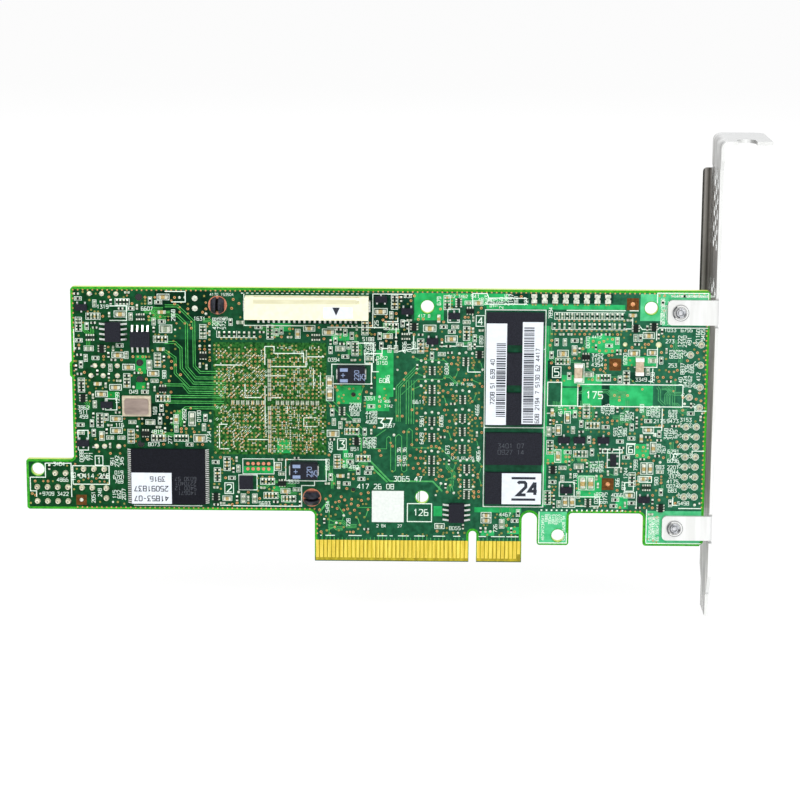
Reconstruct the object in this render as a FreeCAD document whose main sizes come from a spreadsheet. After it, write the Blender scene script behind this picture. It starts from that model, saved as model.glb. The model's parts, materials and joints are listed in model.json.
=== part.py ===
"""RAID controller card: a low-profile circuit board in a full-height slot bracket.

Frame: X runs along the card towards the bracket, Z up from the contact edge, and Y from
the solder face (Y = 0) through the board to the component side.  X = 0 is the middle of
the key notch between the two groups of edge contacts, and Z = 0 is the contact edge.
All lengths are millimetres.
"""
import FreeCAD, Part
import math
import os
import Sketcher

V = FreeCAD.Vector

SIZES = {
    # circuit board
    "board_thick": 1.57,
    "board_top": 68.9,
    "right_reach": 57.15,
    "left_reach": 98.67,
    "tail_reach": 110.5,
    "tail_top": 25.63,
    "foot_line": 12.9,
    "hook_low": 4.65,
    "hook_gap": 3.8,
    "hook_wide": 7.85,
    "ear_reach": 14.95,
    "corner_round": 0.9,
    "foot_round": 0.7,
    "ear_chamfer": 1.0,
    "key_wide": 1.9,
    "key_deep": 8.1,
    "nub_low": 46.3,
    "nub_tall": 4.1,
    "nub_out": 0.5,
    "bevel_tall": 1.3,
    "bevel_cut": 0.45,
    # edge contacts
    "contact_pitch": 1.0,
    "contact_wide": 0.7,
    "contact_first": 1.5,
    "contact_low": 1.05,
    "contact_short_low": 2.2,
    "contact_high": 5.55,
    "contact_thick": 0.05,
    "contact_margin": 0.65,
    "long_row": 38,
    "short_row": 11,
    # holes of the board
    "mount_hole": 3.18,
    "pin_hole": 3.2,
    "screw_hole": 3.0,
    "post_hole": 0.8,
    "shield_slot": 0.2,
    "peg_hole": 1.7,
    "key_peg_hole": 1.4,
    "small_peg_hole": 1.1,
    "peg_clear": 0.1,
    # bracket
    "bracket_gap": 1.3,
    "sheet_thick": 0.86,
    "bracket_wide": 18.42,
    "bracket_top": 105.5,
    "bracket_high": 120.02,
    "bend_inner": 0.3,
    "flange_bend_inner": 1.0,
    "flange_reach": 11.43,
    "flange_round": 2.5,
    "neck_extra": 1.35,
    "shoulder_low": 98.4,
    "shoulder_tall": 2.4,
    "notch_reach": 5.35,
    "notch_wide": 4.6,
    "notch_deep": 5.1,
    "lip_deep": 2.25,
    "lip_top": 96.9,
    "lip_low": 10.0,
    "relief": 0.7,
    "tab_reach": 11.6,
    "tab_tall": 6.15,
    "tab_round": 1.1,
    "tab_upper_z": 63.6,
    "tab_lower_z": 9.37,
    "tongue_wide": 10.19,
    "tongue_near": 4.56,
    "tongue_step": 5.7,
    "vent_hole": 2.4,
    "vent_pitch": 3.75,
    "vent_inset": 3.6,
    "vent_low": 79.6,
    "vent_foot_low": 68.0,
    # bracket screws
    "screw_inset": 7.2,
    "screw_thread": 2.5,
    "screw_clear": 0.05,
    "screw_head": 5.2,
    "screw_head_tall": 1.9,
    "cross_arm": 0.8,
    "cross_reach": 3.0,
    "cross_deep": 1.0,
    "collar_wide": 4.1,
    "collar_tall": 0.3,
    # processor stack and heatsink
    "chip_side": 29.0,
    "chip_thick": 1.3,
    "lid_side": 24.0,
    "lid_thick": 1.4,
    "pad_side": 20.0,
    "pad_thick": 0.25,
    "sink_wide": 38.0,
    "sink_tall": 39.0,
    "sink_base": 2.6,
    "fin_tall": 6.6,
    "fin_thick": 1.1,
    "fin_count": 12,
    "ear_round": 3.4,
    "ear_thick": 1.8,
    "spring_wide": 4.4,
    "spring_wire": 0.55,
    "spring_turns": 2.5,
    "pin_head": 4.4,
    "pin_head_tall": 1.0,
    "pin_shaft": 2.8,
    "pin_rise": 4.2,
    "barb_wide": 4.2,
    "barb_flat": 3.3,
    "barb_long": 3.0,
    "barb_slot": 0.7,
    # serial-attached ports
    "cage_wide": 18.2,
    "cage_tall": 8.0,
    "cage_deep": 19.6,
    "cage_front": 0.2,
    "cage_wall": 0.3,
    "cage_pitch": 20.4,
    "port_rear": 4.6,
    "nose_tall": 3.8,
    "nose_wide": 15.6,
    "nose_inset": 4.6,
    "slot_tall": 1.3,
    "slot_deep": 5.5,
    "peg_spread": 16.3,
    "peg_inset": 2.7,
    "port_contacts": 18,
    "port_pitch": 0.8,
    "port_contact_wide": 0.4,
    "port_contact_thick": 0.1,
    "port_tail": 1.3,
    "shield_pin": 0.7,
    # cache backup connector
    "backup_wide": 30.0,
    "backup_tall": 5.4,
    "backup_thick": 4.0,
    "backup_groove": 25.6,
    "backup_contacts": 20,
    "backup_pitch": 1.25,
    "backup_tail": 1.4,
    "backup_contact_wide": 0.5,
    "backup_slot_tall": 2.0,
    "backup_slot_deep": 3.6,
    # memory and logic packages
    "dram_wide": 14.0,
    "dram_tall": 8.0,
    "dram_thick": 1.2,
    "dram_pitch": 10.02,
    "dram_solder_count": 5,
    "dram_component_count": 4,
    "flash_wide": 18.4,
    "flash_tall": 14.0,
    "flash_thick": 1.2,
    "flash_leads": 28,
    "flash_pitch": 0.5,
    "flash_lead_wide": 0.24,
    "flash_reach": 0.85,
    "soic_wide": 3.9,
    "soic_long": 4.9,
    "soic_thick": 1.7,
    "soic_leads": 4,
    "soic_pitch": 1.27,
    "soic_lead_wide": 0.45,
    "soic_reach": 1.45,
    "lead_thick": 0.2,
    "package_draft": 6.0,
    "stand_off": 0.1,
    "label_thick": 0.1,
    # clock, regulator and passive parts
    "clock_wide": 7.0,
    "clock_tall": 5.0,
    "clock_base": 1.0,
    "clock_lid": 0.5,
    "clock_rim": 0.55,
    "driver_side": 3.4,
    "driver_thick": 0.9,
    "tantalum_long": 7.3,
    "tantalum_tall": 4.3,
    "tantalum_thick": 2.8,
    "tantalum_foot": 0.25,
    "tantalum_terminal": 2.4,
    "ceramic_wide": 2.0,
    "ceramic_long": 4.3,
    "ceramic_thick": 1.5,
    "ceramic_cap": 0.5,
    "ceramic_step": 0.05,
    "sot_wide": 2.9,
    "sot_tall": 1.5,
    "sot_thick": 1.1,
    "sot_lift": 0.1,
    "sot_pitch": 0.95,
    "sot_leg_reach": 0.55,
    "sot_leg_wide": 0.4,
    "sot_leg_thick": 0.35,
    "coil_side": 10.0,
    "coil_thick": 4.0,
    "socket_wide": 2.6,
    "socket_long": 30.0,
    "socket_tall": 4.4,
    "socket_pegs": 24.1,
    "lead_socket_wide": 11.0,
    "lead_socket_deep": 4.6,
    "lead_socket_tall": 4.2,
    "lead_socket_pegs": 8.2,
    "socket_wall": 0.7,
    "socket_floor": 1.2,
    # headers
    "post_pitch": 2.54,
    "post_side": 0.64,
    "post_block": 2.4,
    "post_block_thick": 2.5,
    "post_rise": 8.4,
    "post_tip": 1.0,
}

PLACES = {
    # through holes of the board
    "hole_a": (-11.6, 64.55),
    "hole_b": (42.87, 64.55),
    "hole_c": (-12.6, 16.65),
    "hole_hook": (21.15, 7.1),
    "hole_tail": (-107.6, 23.05),
    # solder side
    "backup": (-40.9, 64.4),
    "dram": (9.9, 19.3),
    "flash": (-75.3, 21.6),
    "soic_a": (-88.35, 57.9),
    "soic_b": (-81.75, 56.1),
    "soic_c": (-4.05, 12.95),
    "clock": (-82.85, 39.35),
    "driver": (-56.1, 20.2),
    "tantalum_a": (-30.1, 47.9),
    "tantalum_b": (-41.75, 23.6),
    "ceramic_a": (25.4, 48.6),
    "ceramic_b": (40.35, 50.2),
    # component side
    "processor": (-50.6, 41.0),
    "pin_upper": (-62.75, 64.6),
    "pin_lower": (-39.85, 16.35),
    "port_lower": (-98.67, 37.85),
    "socket": (-29.6, 30.45),
    "coil_a": (-17.0, 52.0),
    "coil_b": (-17.0, 38.0),
    "coil_c": (36.5, 30.0),
    "lead_socket": (40.8, 55.5),
}

# small three-leg packages on the solder side: place and quarter turns
SMALL_PACKAGES = {
    "sot_a": (-96.0, 63.9, 0),
    "sot_b": (-90.2, 39.6, 2),
    "sot_c": (-96.2, 29.9, 0),
    "sot_d": (-22.9, 66.4, 2),
    "sot_e": (-16.5, 63.5, 0),
    "sot_f": (-5.1, 62.4, 2),
    "sot_g": (-10.3, 56.1, 0),
    "sot_h": (34.4, 26.6, 1),
    "sot_i": (42.2, 16.6, 0),
    "sot_j": (23.0, 18.9, 0),
    "sot_k": (22.2, 31.6, 2),
    "sot_l": (26.0, 31.6, 2),
    "sot_m": (31.9, 31.6, 2),
}

# pin headers on the component side: first post, columns along X, rows along Z
HEADERS = {
    "tail_row_a": (-107.9, 14.95, 4, 1),
    "tail_row_b": (-107.9, 18.55, 4, 1),
    "tail_row_c": (-103.35, 22.1, 2, 1),
    "tail_row_d": (-96.3, 23.2, 3, 1),
    "tail_row_e": (-96.8, 18.45, 2, 1),
    "tail_row_f": (-90.8, 15.8, 1, 2),
    "jumper_row": (52.1, 17.25, 2, 8),
}

# indicator blocks by the bracket: middle post, with one post above and one below
INDICATORS = {"indicator_a": (52.7, 42.45), "indicator_b": (52.7, 53.05)}


class Size:
    """A length that knows both its number and its spreadsheet formula."""

    def __init__(self, number, formula):
        self.number = float(number)
        self.formula = formula

    def join(self, other, sign, number):
        return Size(number, "(%s %s %s)" % (self.formula, sign, as_size(other).formula))

    def __add__(self, other):
        return self.join(other, "+", self.number + as_size(other).number)

    def __sub__(self, other):
        return self.join(other, "-", self.number - as_size(other).number)

    def __mul__(self, other):
        return self.join(other, "*", self.number * as_size(other).number)

    def __truediv__(self, other):
        return self.join(other, "/", self.number / as_size(other).number)

    def __radd__(self, other):
        return as_size(other) + self

    def __rsub__(self, other):
        return as_size(other) - self

    def __rmul__(self, other):
        return as_size(other) * self

    def __neg__(self):
        return as_size(0) - self


def as_size(value):
    """The value as a Size, with a plain number standing for itself."""
    return value if isinstance(value, Size) else Size(value, "(%r)" % float(value))


class Sheet:
    """Driving dimensions in the document's spreadsheet, read as attributes."""

    def __init__(self, document):
        self.sheet = document.addObject("Spreadsheet::Sheet", "sizes")
        self.row = 0

    def add(self, name, number):
        self.row += 1
        self.sheet.set("A%d" % self.row, name)
        self.sheet.set("B%d" % self.row, str(number))
        self.sheet.setAlias("B%d" % self.row, name)
        setattr(self, name, Size(number, "sizes." + name))

    def place(self, name):
        return getattr(self, name + "_x"), getattr(self, name + "_z")


doc = FreeCAD.newDocument("raid_controller_card")
s = Sheet(doc)
for size_name, size_number in SIZES.items():
    s.add(size_name, size_number)
for table in (PLACES, SMALL_PACKAGES, HEADERS, INDICATORS):
    for place_name, values in table.items():
        s.add(place_name + "_x", values[0])
        s.add(place_name + "_z", values[1])
doc.recompute()

PIECES = {}


def keep(node, thing):
    """Register a finished sub-part under its node name."""
    thing.Label = node
    PIECES[node] = thing
    return thing


# ---------------------------------------------------------------- shared tools


def bind(thing, name, value):
    """Drive a property from the spreadsheet."""
    thing.setExpression(name, as_size(value).formula)


def put(thing, x, y, z, quarter_turns=0):
    """Place a thing, turned by quarter turns about the Y direction."""
    turn = FreeCAD.Rotation(V(0, 1, 0), -90 * quarter_turns)
    thing.Placement = FreeCAD.Placement(V(*(as_size(k).number for k in (x, y, z))), turn)
    for axis, value in zip("xyz", (x, y, z)):
        bind(thing, "Placement.Base." + axis, value)


def block(name, x, y, z):
    """A box between two values along each axis."""
    box = doc.addObject("Part::Box", name)
    for side, (low, high) in zip(("Length", "Width", "Height"), (x, y, z)):
        setattr(box, side, as_size(high - low).number)
        bind(box, side, high - low)
    put(box, x[0], y[0], z[0])
    return box


def group(name, members):
    """Separate solids that are one node."""
    compound = doc.addObject("Part::Compound", name)
    compound.Links = members
    return compound


def fuse(name, members):
    """Touching shapes made one solid."""
    fusion = doc.addObject("Part::MultiFuse", name)
    fusion.Shapes = members
    fusion.Refine = True
    return fusion


def cut(name, base, tool):
    """The base without the tool."""
    result = doc.addObject("Part::Cut", name)
    result.Base = base
    result.Tool = tool
    return result


def origin_item(body, role):
    return [item for item in body.Origin.OriginFeatures if item.Role == role][0]


def sketch_on(body, role, offset=0):
    """A new sketch on one of the body's own origin planes, moved along its normal."""
    sketch = body.newObject("Sketcher::SketchObject", body.Name + "_sketch")
    sketch.AttachmentSupport = [(origin_item(body, role), "")]
    sketch.MapMode = "FlatFace"
    sketch.AttachmentOffset = FreeCAD.Placement(V(0, 0, as_size(offset).number), FreeCAD.Rotation())
    if isinstance(offset, Size):
        bind(sketch, "AttachmentOffset.Base.z", offset)
    return sketch


def constrain(sketch, rules):
    """Add (constraint, value) pairs and drive each value from the spreadsheet."""
    numbers = sketch.addConstraint([rule for rule, value in rules])
    for number, (rule, value) in zip(numbers, rules):
        if isinstance(value, Size):
            sketch.setExpression("Constraints[%d]" % number, value.formula)


def at_point(geometry, vertex, x, y):
    """Rules that hold a vertex at x, y from the sketch's origin."""
    return [
        (Sketcher.Constraint("DistanceX", -1, 1, geometry, vertex, as_size(x).number), x),
        (Sketcher.Constraint("DistanceY", -1, 1, geometry, vertex, as_size(y).number), y),
    ]


def outline(sketch, corners):
    """A closed outline; a corner's third value, where it has one, is its rounding radius."""
    count = len(corners)
    points = [V(as_size(c[0]).number, as_size(c[1]).number, 0) for c in corners]
    radii = [as_size(c[2]) if len(c) > 2 else as_size(0) for c in corners]
    entries, exits, middles = [], [], []
    for i in range(count):
        back = (points[i - 1] - points[i]).normalize()
        ahead = (points[(i + 1) % count] - points[i]).normalize()
        half = back.getAngle(ahead) / 2
        reach = radii[i].number / math.tan(half)
        entries.append(points[i] + back * reach)
        exits.append(points[i] + ahead * reach)
        middles.append(points[i] + (back + ahead).normalize() * (radii[i].number / math.sin(half)))
    lines = [
        sketch.addGeometry(Part.LineSegment(exits[i], entries[(i + 1) % count]))
        for i in range(count)
    ]
    rules = []
    for i, corner in enumerate(corners):
        before, after = lines[i - 1], lines[i]
        if radii[i].number == 0:
            rules.append((Sketcher.Constraint("Coincident", before, 2, after, 1), None))
            rules += at_point(after, 1, corner[0], corner[1])
            continue
        start, end = entries[i] - middles[i], exits[i] - middles[i]
        entry_vertex, exit_vertex = 1, 2
        if start.cross(end).z < 0:
            start, end = end, start
            entry_vertex, exit_vertex = 2, 1
        circle = Part.Circle(middles[i], V(0, 0, 1), radii[i].number)
        first, last = math.atan2(start.y, start.x), math.atan2(end.y, end.x)
        if last < first:
            last += 2 * math.pi
        arc = sketch.addGeometry(Part.ArcOfCircle(circle, first, last))
        corner_point = sketch.addGeometry(Part.Point(points[i]), True)
        rules += at_point(corner_point, 1, corner[0], corner[1])
        rules += [
            (Sketcher.Constraint("PointOnObject", corner_point, 1, before), None),
            (Sketcher.Constraint("PointOnObject", corner_point, 1, after), None),
            (Sketcher.Constraint("Tangent", before, 2, arc, entry_vertex), None),
            (Sketcher.Constraint("Tangent", after, 1, arc, exit_vertex), None),
            (Sketcher.Constraint("Radius", arc, radii[i].number), radii[i]),
        ]
    constrain(sketch, rules)


def rectangle(sketch, x, y, radius=None):
    """A rectangle between two values along each sketch axis."""
    corners = [(x[0], y[0]), (x[1], y[0]), (x[1], y[1]), (x[0], y[1])]
    outline(sketch, [c if radius is None else c + (radius,) for c in corners])


def ring(sketch, diameter, x, y):
    """A circle about x, y."""
    half = as_size(diameter) / 2
    at = V(as_size(x).number, as_size(y).number, 0)
    circle = sketch.addGeometry(Part.Circle(at, V(0, 0, 1), half.number))
    constrain(sketch, [(Sketcher.Constraint("Radius", circle, half.number), half)]
              + at_point(circle, 3, x, y))


def polygon(sketch, sides, across, x, y, start=0):
    """A regular polygon about x, y, as wide across its flats as said."""
    radius = across / (2 * math.cos(math.pi / sides))
    turns = (math.radians(start + (i + 0.5) * 360 / sides) for i in range(sides))
    outline(sketch, [(x + radius * math.cos(turn), y + radius * math.sin(turn)) for turn in turns])


def body_of(name):
    return doc.addObject("PartDesign::Body", name)


def pad(body, sketch, length, reverse=False, draft=None):
    """Material along the sketch's normal, or against it."""
    feature = body.newObject("PartDesign::Pad", body.Name + "_pad")
    feature.Profile = sketch
    feature.Length = as_size(length).number
    bind(feature, "Length", length)
    feature.Reversed = reverse
    if draft is not None:
        feature.TaperAngle = -draft.number
        bind(feature, "TaperAngle", -draft)
    body.Tip = feature
    return feature


def pocket(body, sketch, length=None, reverse=False):
    """A cut against the sketch's normal, or along it; with no length it goes through."""
    feature = body.newObject("PartDesign::Pocket", body.Name + "_pocket")
    feature.Profile = sketch
    if length is None:
        feature.Type = "ThroughAll"
    else:
        feature.Length = as_size(length).number
        bind(feature, "Length", length)
    feature.Reversed = reverse
    body.Tip = feature
    return feature


def repeat(body, features, role, length, count, role2=None, length2=None, count2=None):
    """Copies of features along one origin axis, or along two."""
    pattern = body.newObject("PartDesign::LinearPattern", body.Name + "_row")
    pattern.Originals = features
    pattern.Direction = (origin_item(body, role), [""])
    pattern.Length = as_size(length).number
    bind(pattern, "Length", length)
    pattern.Occurrences = int(as_size(count).number)
    bind(pattern, "Occurrences", count)
    if role2:
        pattern.Direction2 = (origin_item(body, role2), [""])
        pattern.Length2 = as_size(length2).number
        bind(pattern, "Length2", length2)
        pattern.Occurrences2 = int(as_size(count2).number)
        bind(pattern, "Occurrences2", count2)
    body.Tip = pattern
    return pattern


def revolve(body, corners):
    """A turned solid about the body's Y axis, from (radius, y) corners."""
    sketch = sketch_on(body, "XY_Plane")
    outline(sketch, corners)
    feature = body.newObject("PartDesign::Revolution", body.Name + "_turned")
    feature.Profile = sketch
    feature.ReferenceAxis = (origin_item(body, "Y_Axis"), [""])
    feature.Angle = 360
    body.Tip = feature
    return feature


def round_edges(body, radius, wanted):
    """Fillet the edges of the body's last feature that the test picks."""
    doc.recompute()
    base = body.Tip
    names = ["Edge%d" % (i + 1) for i, edge in enumerate(base.Shape.Edges) if wanted(edge)]
    feature = body.newObject("PartDesign::Fillet", body.Name + "_fillet")
    feature.Base = (base, names)
    feature.Radius = as_size(radius).number
    bind(feature, "Radius", radius)
    body.Tip = feature
    return feature


def upright_at(x, y, z_low, z_high):
    """An edge test: parallel to Z, at x and y, between two heights."""
    x, y, z_low, z_high = (as_size(k).number for k in (x, y, z_low, z_high))

    def wanted(edge):
        box = edge.BoundBox
        return (box.ZLength > 0.5 and box.XLength < 1e-4 and box.YLength < 1e-4
                and abs(box.XMin - x) < 1e-3 and abs(box.YMin - y) < 1e-3
                and box.ZMin > z_low - 1e-3 and box.ZMax < z_high + 1e-3)

    return wanted


# ---------------------------------------------------------------- circuit board

FACE = as_size(0)                    # solder face
BACK = s.board_thick                 # component face
RUN_LEFT = s.contact_first + s.contact_pitch * (s.long_row - 1) + s.contact_margin
RUN_RIGHT = s.contact_first + s.contact_pitch * (s.short_row - 1) + s.contact_margin
HOOK_LEFT = RUN_RIGHT + s.hook_gap
HOOK_RIGHT = HOOK_LEFT + s.hook_wide
EAR_LEFT = s.right_reach - s.ear_reach
PLATE_IN = s.right_reach + s.bracket_gap
PLATE_OUT = PLATE_IN + s.sheet_thick
SCREW_X = s.right_reach - s.screw_inset
PORT_Z = (s.port_lower_z, s.port_lower_z + s.cage_pitch)
SHIELD_OUT = s.cage_wide / 2 - s.cage_wall / 2
SHIELD_X = [s.port_lower_x + inset for inset in (5.1, 7.7, 11.2)]
PEG_X = s.port_lower_x - s.cage_front + s.cage_deep - s.peg_inset
SOCKET_PEGS = [(s.socket_x, s.socket_z + s.socket_pegs / 2 * side, s.small_peg_hole)
               for side in (-1, 1)]
LEAD_SOCKET_PEGS = [(s.lead_socket_x + s.lead_socket_pegs / 2 * side, s.lead_socket_z, diameter)
                    for side, diameter in ((-1, s.small_peg_hole), (1, s.key_peg_hole))]


def header_posts():
    """Place of every through-hole post, by node group."""
    posts = {"tail": [], "bracket": []}
    for name, (x, z, columns, rows) in HEADERS.items():
        first_x, first_z = s.place(name)
        side = "tail" if name.startswith("tail") else "bracket"
        for i in range(columns):
            for j in range(rows):
                posts[side].append((first_x + s.post_pitch * i, first_z + s.post_pitch * j))
    for name in INDICATORS:
        middle_x, middle_z = s.place(name)
        posts["bracket"] += [
            (middle_x, middle_z),
            (middle_x + s.post_pitch, middle_z - s.post_pitch),
            (middle_x + s.post_pitch, middle_z + s.post_pitch),
        ]
    return posts


def drill(x, z, wide, tall):
    """A square or slotted drill through the board."""
    return block("drill", (x - wide / 2, x + wide / 2), (FACE - 0.1, BACK + 0.1),
                 (z - tall / 2, z + tall / 2))


def make_circuit_board():
    body = body_of("board_blank")
    sketch = sketch_on(body, "XZ_Plane")
    inside_key = s.key_wide / 2
    key_round = inside_key * 0.98
    slot_round = s.hook_gap / 2 * 0.98
    outline(sketch, [
        (-s.tail_reach, s.foot_line, s.foot_round),
        (-RUN_LEFT, s.foot_line, s.corner_round + 0.4),
        (-RUN_LEFT, 0),
        (-inside_key, 0),
        (-inside_key, s.key_deep, key_round),
        (inside_key, s.key_deep, key_round),
        (inside_key, 0),
        (RUN_RIGHT, 0),
        (RUN_RIGHT, s.foot_line, slot_round),
        (HOOK_LEFT, s.foot_line, slot_round),
        (HOOK_LEFT, s.hook_low, s.foot_round),
        (HOOK_RIGHT, s.hook_low, s.foot_round),
        (HOOK_RIGHT, s.foot_line, s.corner_round),
        (EAR_LEFT, s.foot_line, s.corner_round + 0.4),
        (EAR_LEFT, s.hook_low, s.foot_round),
        (s.right_reach - s.ear_chamfer, s.hook_low),
        (s.right_reach, s.hook_low + s.ear_chamfer),
        (s.right_reach, s.board_top, s.corner_round),
        (-s.left_reach, s.board_top, s.corner_round),
        (-s.left_reach, s.nub_low + s.nub_tall),
        (-s.left_reach - s.nub_out, s.nub_low + s.nub_tall - s.nub_out),
        (-s.left_reach - s.nub_out, s.nub_low + s.nub_out),
        (-s.left_reach, s.nub_low),
        (-s.left_reach, s.tail_top, s.corner_round),
        (-s.tail_reach, s.tail_top, s.foot_round),
    ])
    pad(body, sketch, s.board_thick, reverse=True)

    # the contact edge is bevelled on both faces
    bevel = sketch_on(body, "YZ_Plane", -RUN_LEFT - 1)
    for edge, inner in ((FACE, s.bevel_cut), (BACK, BACK - s.bevel_cut)):
        outline(bevel, [(edge, 0), (inner, 0), (edge, s.bevel_tall)])
    pocket(body, bevel, RUN_LEFT + RUN_RIGHT + 2, reverse=True)

    holes = sketch_on(body, "XZ_Plane")
    for name in ("hole_a", "hole_b", "hole_c", "hole_hook", "hole_tail"):
        ring(holes, s.mount_hole, *s.place(name))
    for name in ("pin_upper", "pin_lower"):
        polygon(holes, 8, s.pin_hole, *s.place(name))
    for z in (s.tab_upper_z, s.tab_lower_z):
        polygon(holes, 8, s.screw_hole, SCREW_X, z)
    for z in PORT_Z:
        for side in (-1, 1):
            polygon(holes, 8, s.peg_hole, PEG_X, z + s.peg_spread / 2 * side)
    for x, z, diameter in SOCKET_PEGS + LEAD_SOCKET_PEGS:
        polygon(holes, 8, diameter, x, z)
    pocket(body, holes)

    # solder fills the room between a square post and its plated hole, so these are square
    drills = [drill(x, z, s.post_hole, s.post_hole)
              for posts in header_posts().values() for x, z in posts]
    for z in PORT_Z:
        for side in (-1, 1):
            drills += [drill(x, z + SHIELD_OUT * side, s.shield_pin + s.shield_slot,
                             s.cage_wall + s.shield_slot) for x in SHIELD_X]
    board = cut("circuit_board", body, group("drills", drills))
    return keep("circuit_board", board)


def make_edge_contacts(node, y_low, y_high):
    """One face's row of gold contacts: 38 and 11 of them, the outermost one shorter."""
    body = body_of(node)
    half = s.contact_wide / 2

    def first(sketch_name, x, low):
        sketch = sketch_on(body, "XZ_Plane", -y_high)
        rectangle(sketch, (x - half, x + half), (low, s.contact_high))
        return pad(body, sketch, y_high - y_low)

    step = s.contact_pitch
    left = first("left", -s.contact_first - step * (s.long_row - 1), s.contact_low)
    repeat(body, [left], "X_Axis", step * (s.long_row - 1), s.long_row)
    right = first("right", s.contact_first, s.contact_low)
    repeat(body, [right], "X_Axis", step * (s.short_row - 2), s.short_row - 1)
    first("last", s.contact_first + step * (s.short_row - 1), s.contact_short_low)
    return keep(node, body)


# ---------------------------------------------------------------- bracket


def make_bracket():
    """A folded sheet: plate, screw flange, stiffening lip, two tabs and the slot tongue."""
    body = body_of("mounting_bracket")
    thick = s.sheet_thick
    near, far = -thick, s.bracket_wide - thick
    foot = s.bracket_top - s.bracket_high
    tongue_near = near + s.tongue_near
    tongue_far = tongue_near + s.tongue_wide
    step = foot + s.tongue_step
    plate = sketch_on(body, "YZ_Plane", PLATE_IN)
    outline(plate, [
        (tongue_near, foot),
        (tongue_far, foot),
        (tongue_far, step + 1.0),
        (far, step + 4.2),
        (far, s.bracket_top),
        (near - s.neck_extra, s.bracket_top),
        (near - s.neck_extra, s.shoulder_low + s.shoulder_tall),
        (near, s.shoulder_low),
        (near, step + 5.9),
        (near + 2.6, step + 1.0),
        (tongue_near, step),
    ])
    pad(body, plate, thick)

    flange = sketch_on(body, "XY_Plane", s.bracket_top - thick)
    end = PLATE_OUT + s.flange_reach
    notch = PLATE_OUT + s.notch_reach
    half = s.notch_wide / 2
    side = near - s.neck_extra
    bottom = side + s.notch_deep
    outline(flange, [
        (PLATE_IN, side),
        (notch - half, side),
        (notch - half, bottom, half * 0.98),
        (notch + half, bottom, half * 0.98),
        (notch + half, side),
        (end, side),
        (end, far, s.flange_round),
        (PLATE_IN, far),
    ])
    pad(body, flange, thick)

    # relief cuts free the lip and the tabs from the rest of the plate's edges
    reliefs = sketch_on(body, "YZ_Plane", PLATE_IN)
    for z in (s.lip_low - s.relief, s.lip_top):
        rectangle(reliefs, (far - thick - s.bend_inner, far + 1), (z, z + s.relief))
    for z in (s.tab_upper_z, s.tab_lower_z):
        for low in (z - s.tab_tall / 2 - s.relief, z + s.tab_tall / 2):
            rectangle(reliefs, (near - 1, near + thick + s.bend_inner), (low, low + s.relief))
    pocket(body, reliefs, thick, reverse=True)

    lip = sketch_on(body, "XZ_Plane", thick - far)
    outline(lip, [
        (PLATE_IN - s.lip_deep, s.lip_low, 1.0),
        (PLATE_OUT, s.lip_low),
        (PLATE_OUT, s.lip_top),
        (PLATE_IN - s.lip_deep, s.lip_top, 1.0),
    ])
    pad(body, lip, thick, reverse=True)

    tabs = sketch_on(body, "XZ_Plane")
    for z in (s.tab_upper_z, s.tab_lower_z):
        low, high = z - s.tab_tall / 2, z + s.tab_tall / 2
        outline(tabs, [
            (PLATE_IN - s.tab_reach, low, s.tab_round),
            (PLATE_OUT, low),
            (PLATE_OUT, high),
            (PLATE_IN - s.tab_reach, high, s.tab_round),
        ])
    pad(body, tabs, thick)

    # bends: outer and inner radii differ by the sheet's thickness
    outer = s.bend_inner + thick
    spans = [(s.lip_low, s.lip_top, far, far - thick)]
    for z in (s.tab_upper_z, s.tab_lower_z):
        spans.append((z - s.tab_tall / 2, z + s.tab_tall / 2, near, near + thick))
    doc.recompute()
    tests = [upright_at(PLATE_OUT, y, low, high) for low, high, y, inside in spans]
    round_edges(body, outer, lambda edge: any(test(edge) for test in tests))
    doc.recompute()
    inner_tests = [upright_at(PLATE_IN, inside, low, high) for low, high, y, inside in spans]
    round_edges(body, s.bend_inner, lambda edge: any(test(edge) for test in inner_tests))

    def along_y(x, z):
        def wanted(edge):
            box = edge.BoundBox
            return (box.YLength > 5 and box.XLength < 1e-4 and box.ZLength < 1e-4
                    and abs(box.XMin - x.number) < 1e-3 and abs(box.ZMin - z.number) < 1e-3)
        return wanted

    round_edges(body, s.flange_bend_inner + thick, along_y(PLATE_IN, s.bracket_top))
    round_edges(body, s.flange_bend_inner, along_y(PLATE_OUT, s.bracket_top - thick))

    # ventilation holes: a honeycomb above the board, and its last rows at the board's top
    across = s.vent_pitch * math.cos(math.radians(30))
    for low, rows in ((s.vent_low, 5), (s.vent_foot_low, 1)):
        for column, lift, count in ((0, 0, 3), (1, s.vent_pitch / 2, 2)):
            vents = sketch_on(body, "YZ_Plane", PLATE_IN)
            polygon(vents, 6, s.vent_hole, near + s.vent_inset + across * column, low + lift, start=30)
            hole = pocket(body, vents, thick, reverse=True)
            if rows > 1:
                repeat(body, [hole], "Y_Axis", across * 2 * (count - 1), count,
                       "Z_Axis", s.vent_pitch * (rows - 1), rows)
            else:
                repeat(body, [hole], "Y_Axis", across * 2 * (count - 1), count)

    # extruded thread collars of the tabs
    collars = sketch_on(body, "XZ_Plane", thick)
    for z in (s.tab_upper_z, s.tab_lower_z):
        ring(collars, s.collar_wide, SCREW_X, z)
    pad(body, collars, s.collar_tall)
    threads = sketch_on(body, "XZ_Plane", thick + s.collar_tall)
    for z in (s.tab_upper_z, s.tab_lower_z):
        ring(threads, s.screw_thread + s.screw_clear * 2, SCREW_X, z)
    pocket(body, threads, thick + s.collar_tall)
    return keep("mounting_bracket", body)


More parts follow.
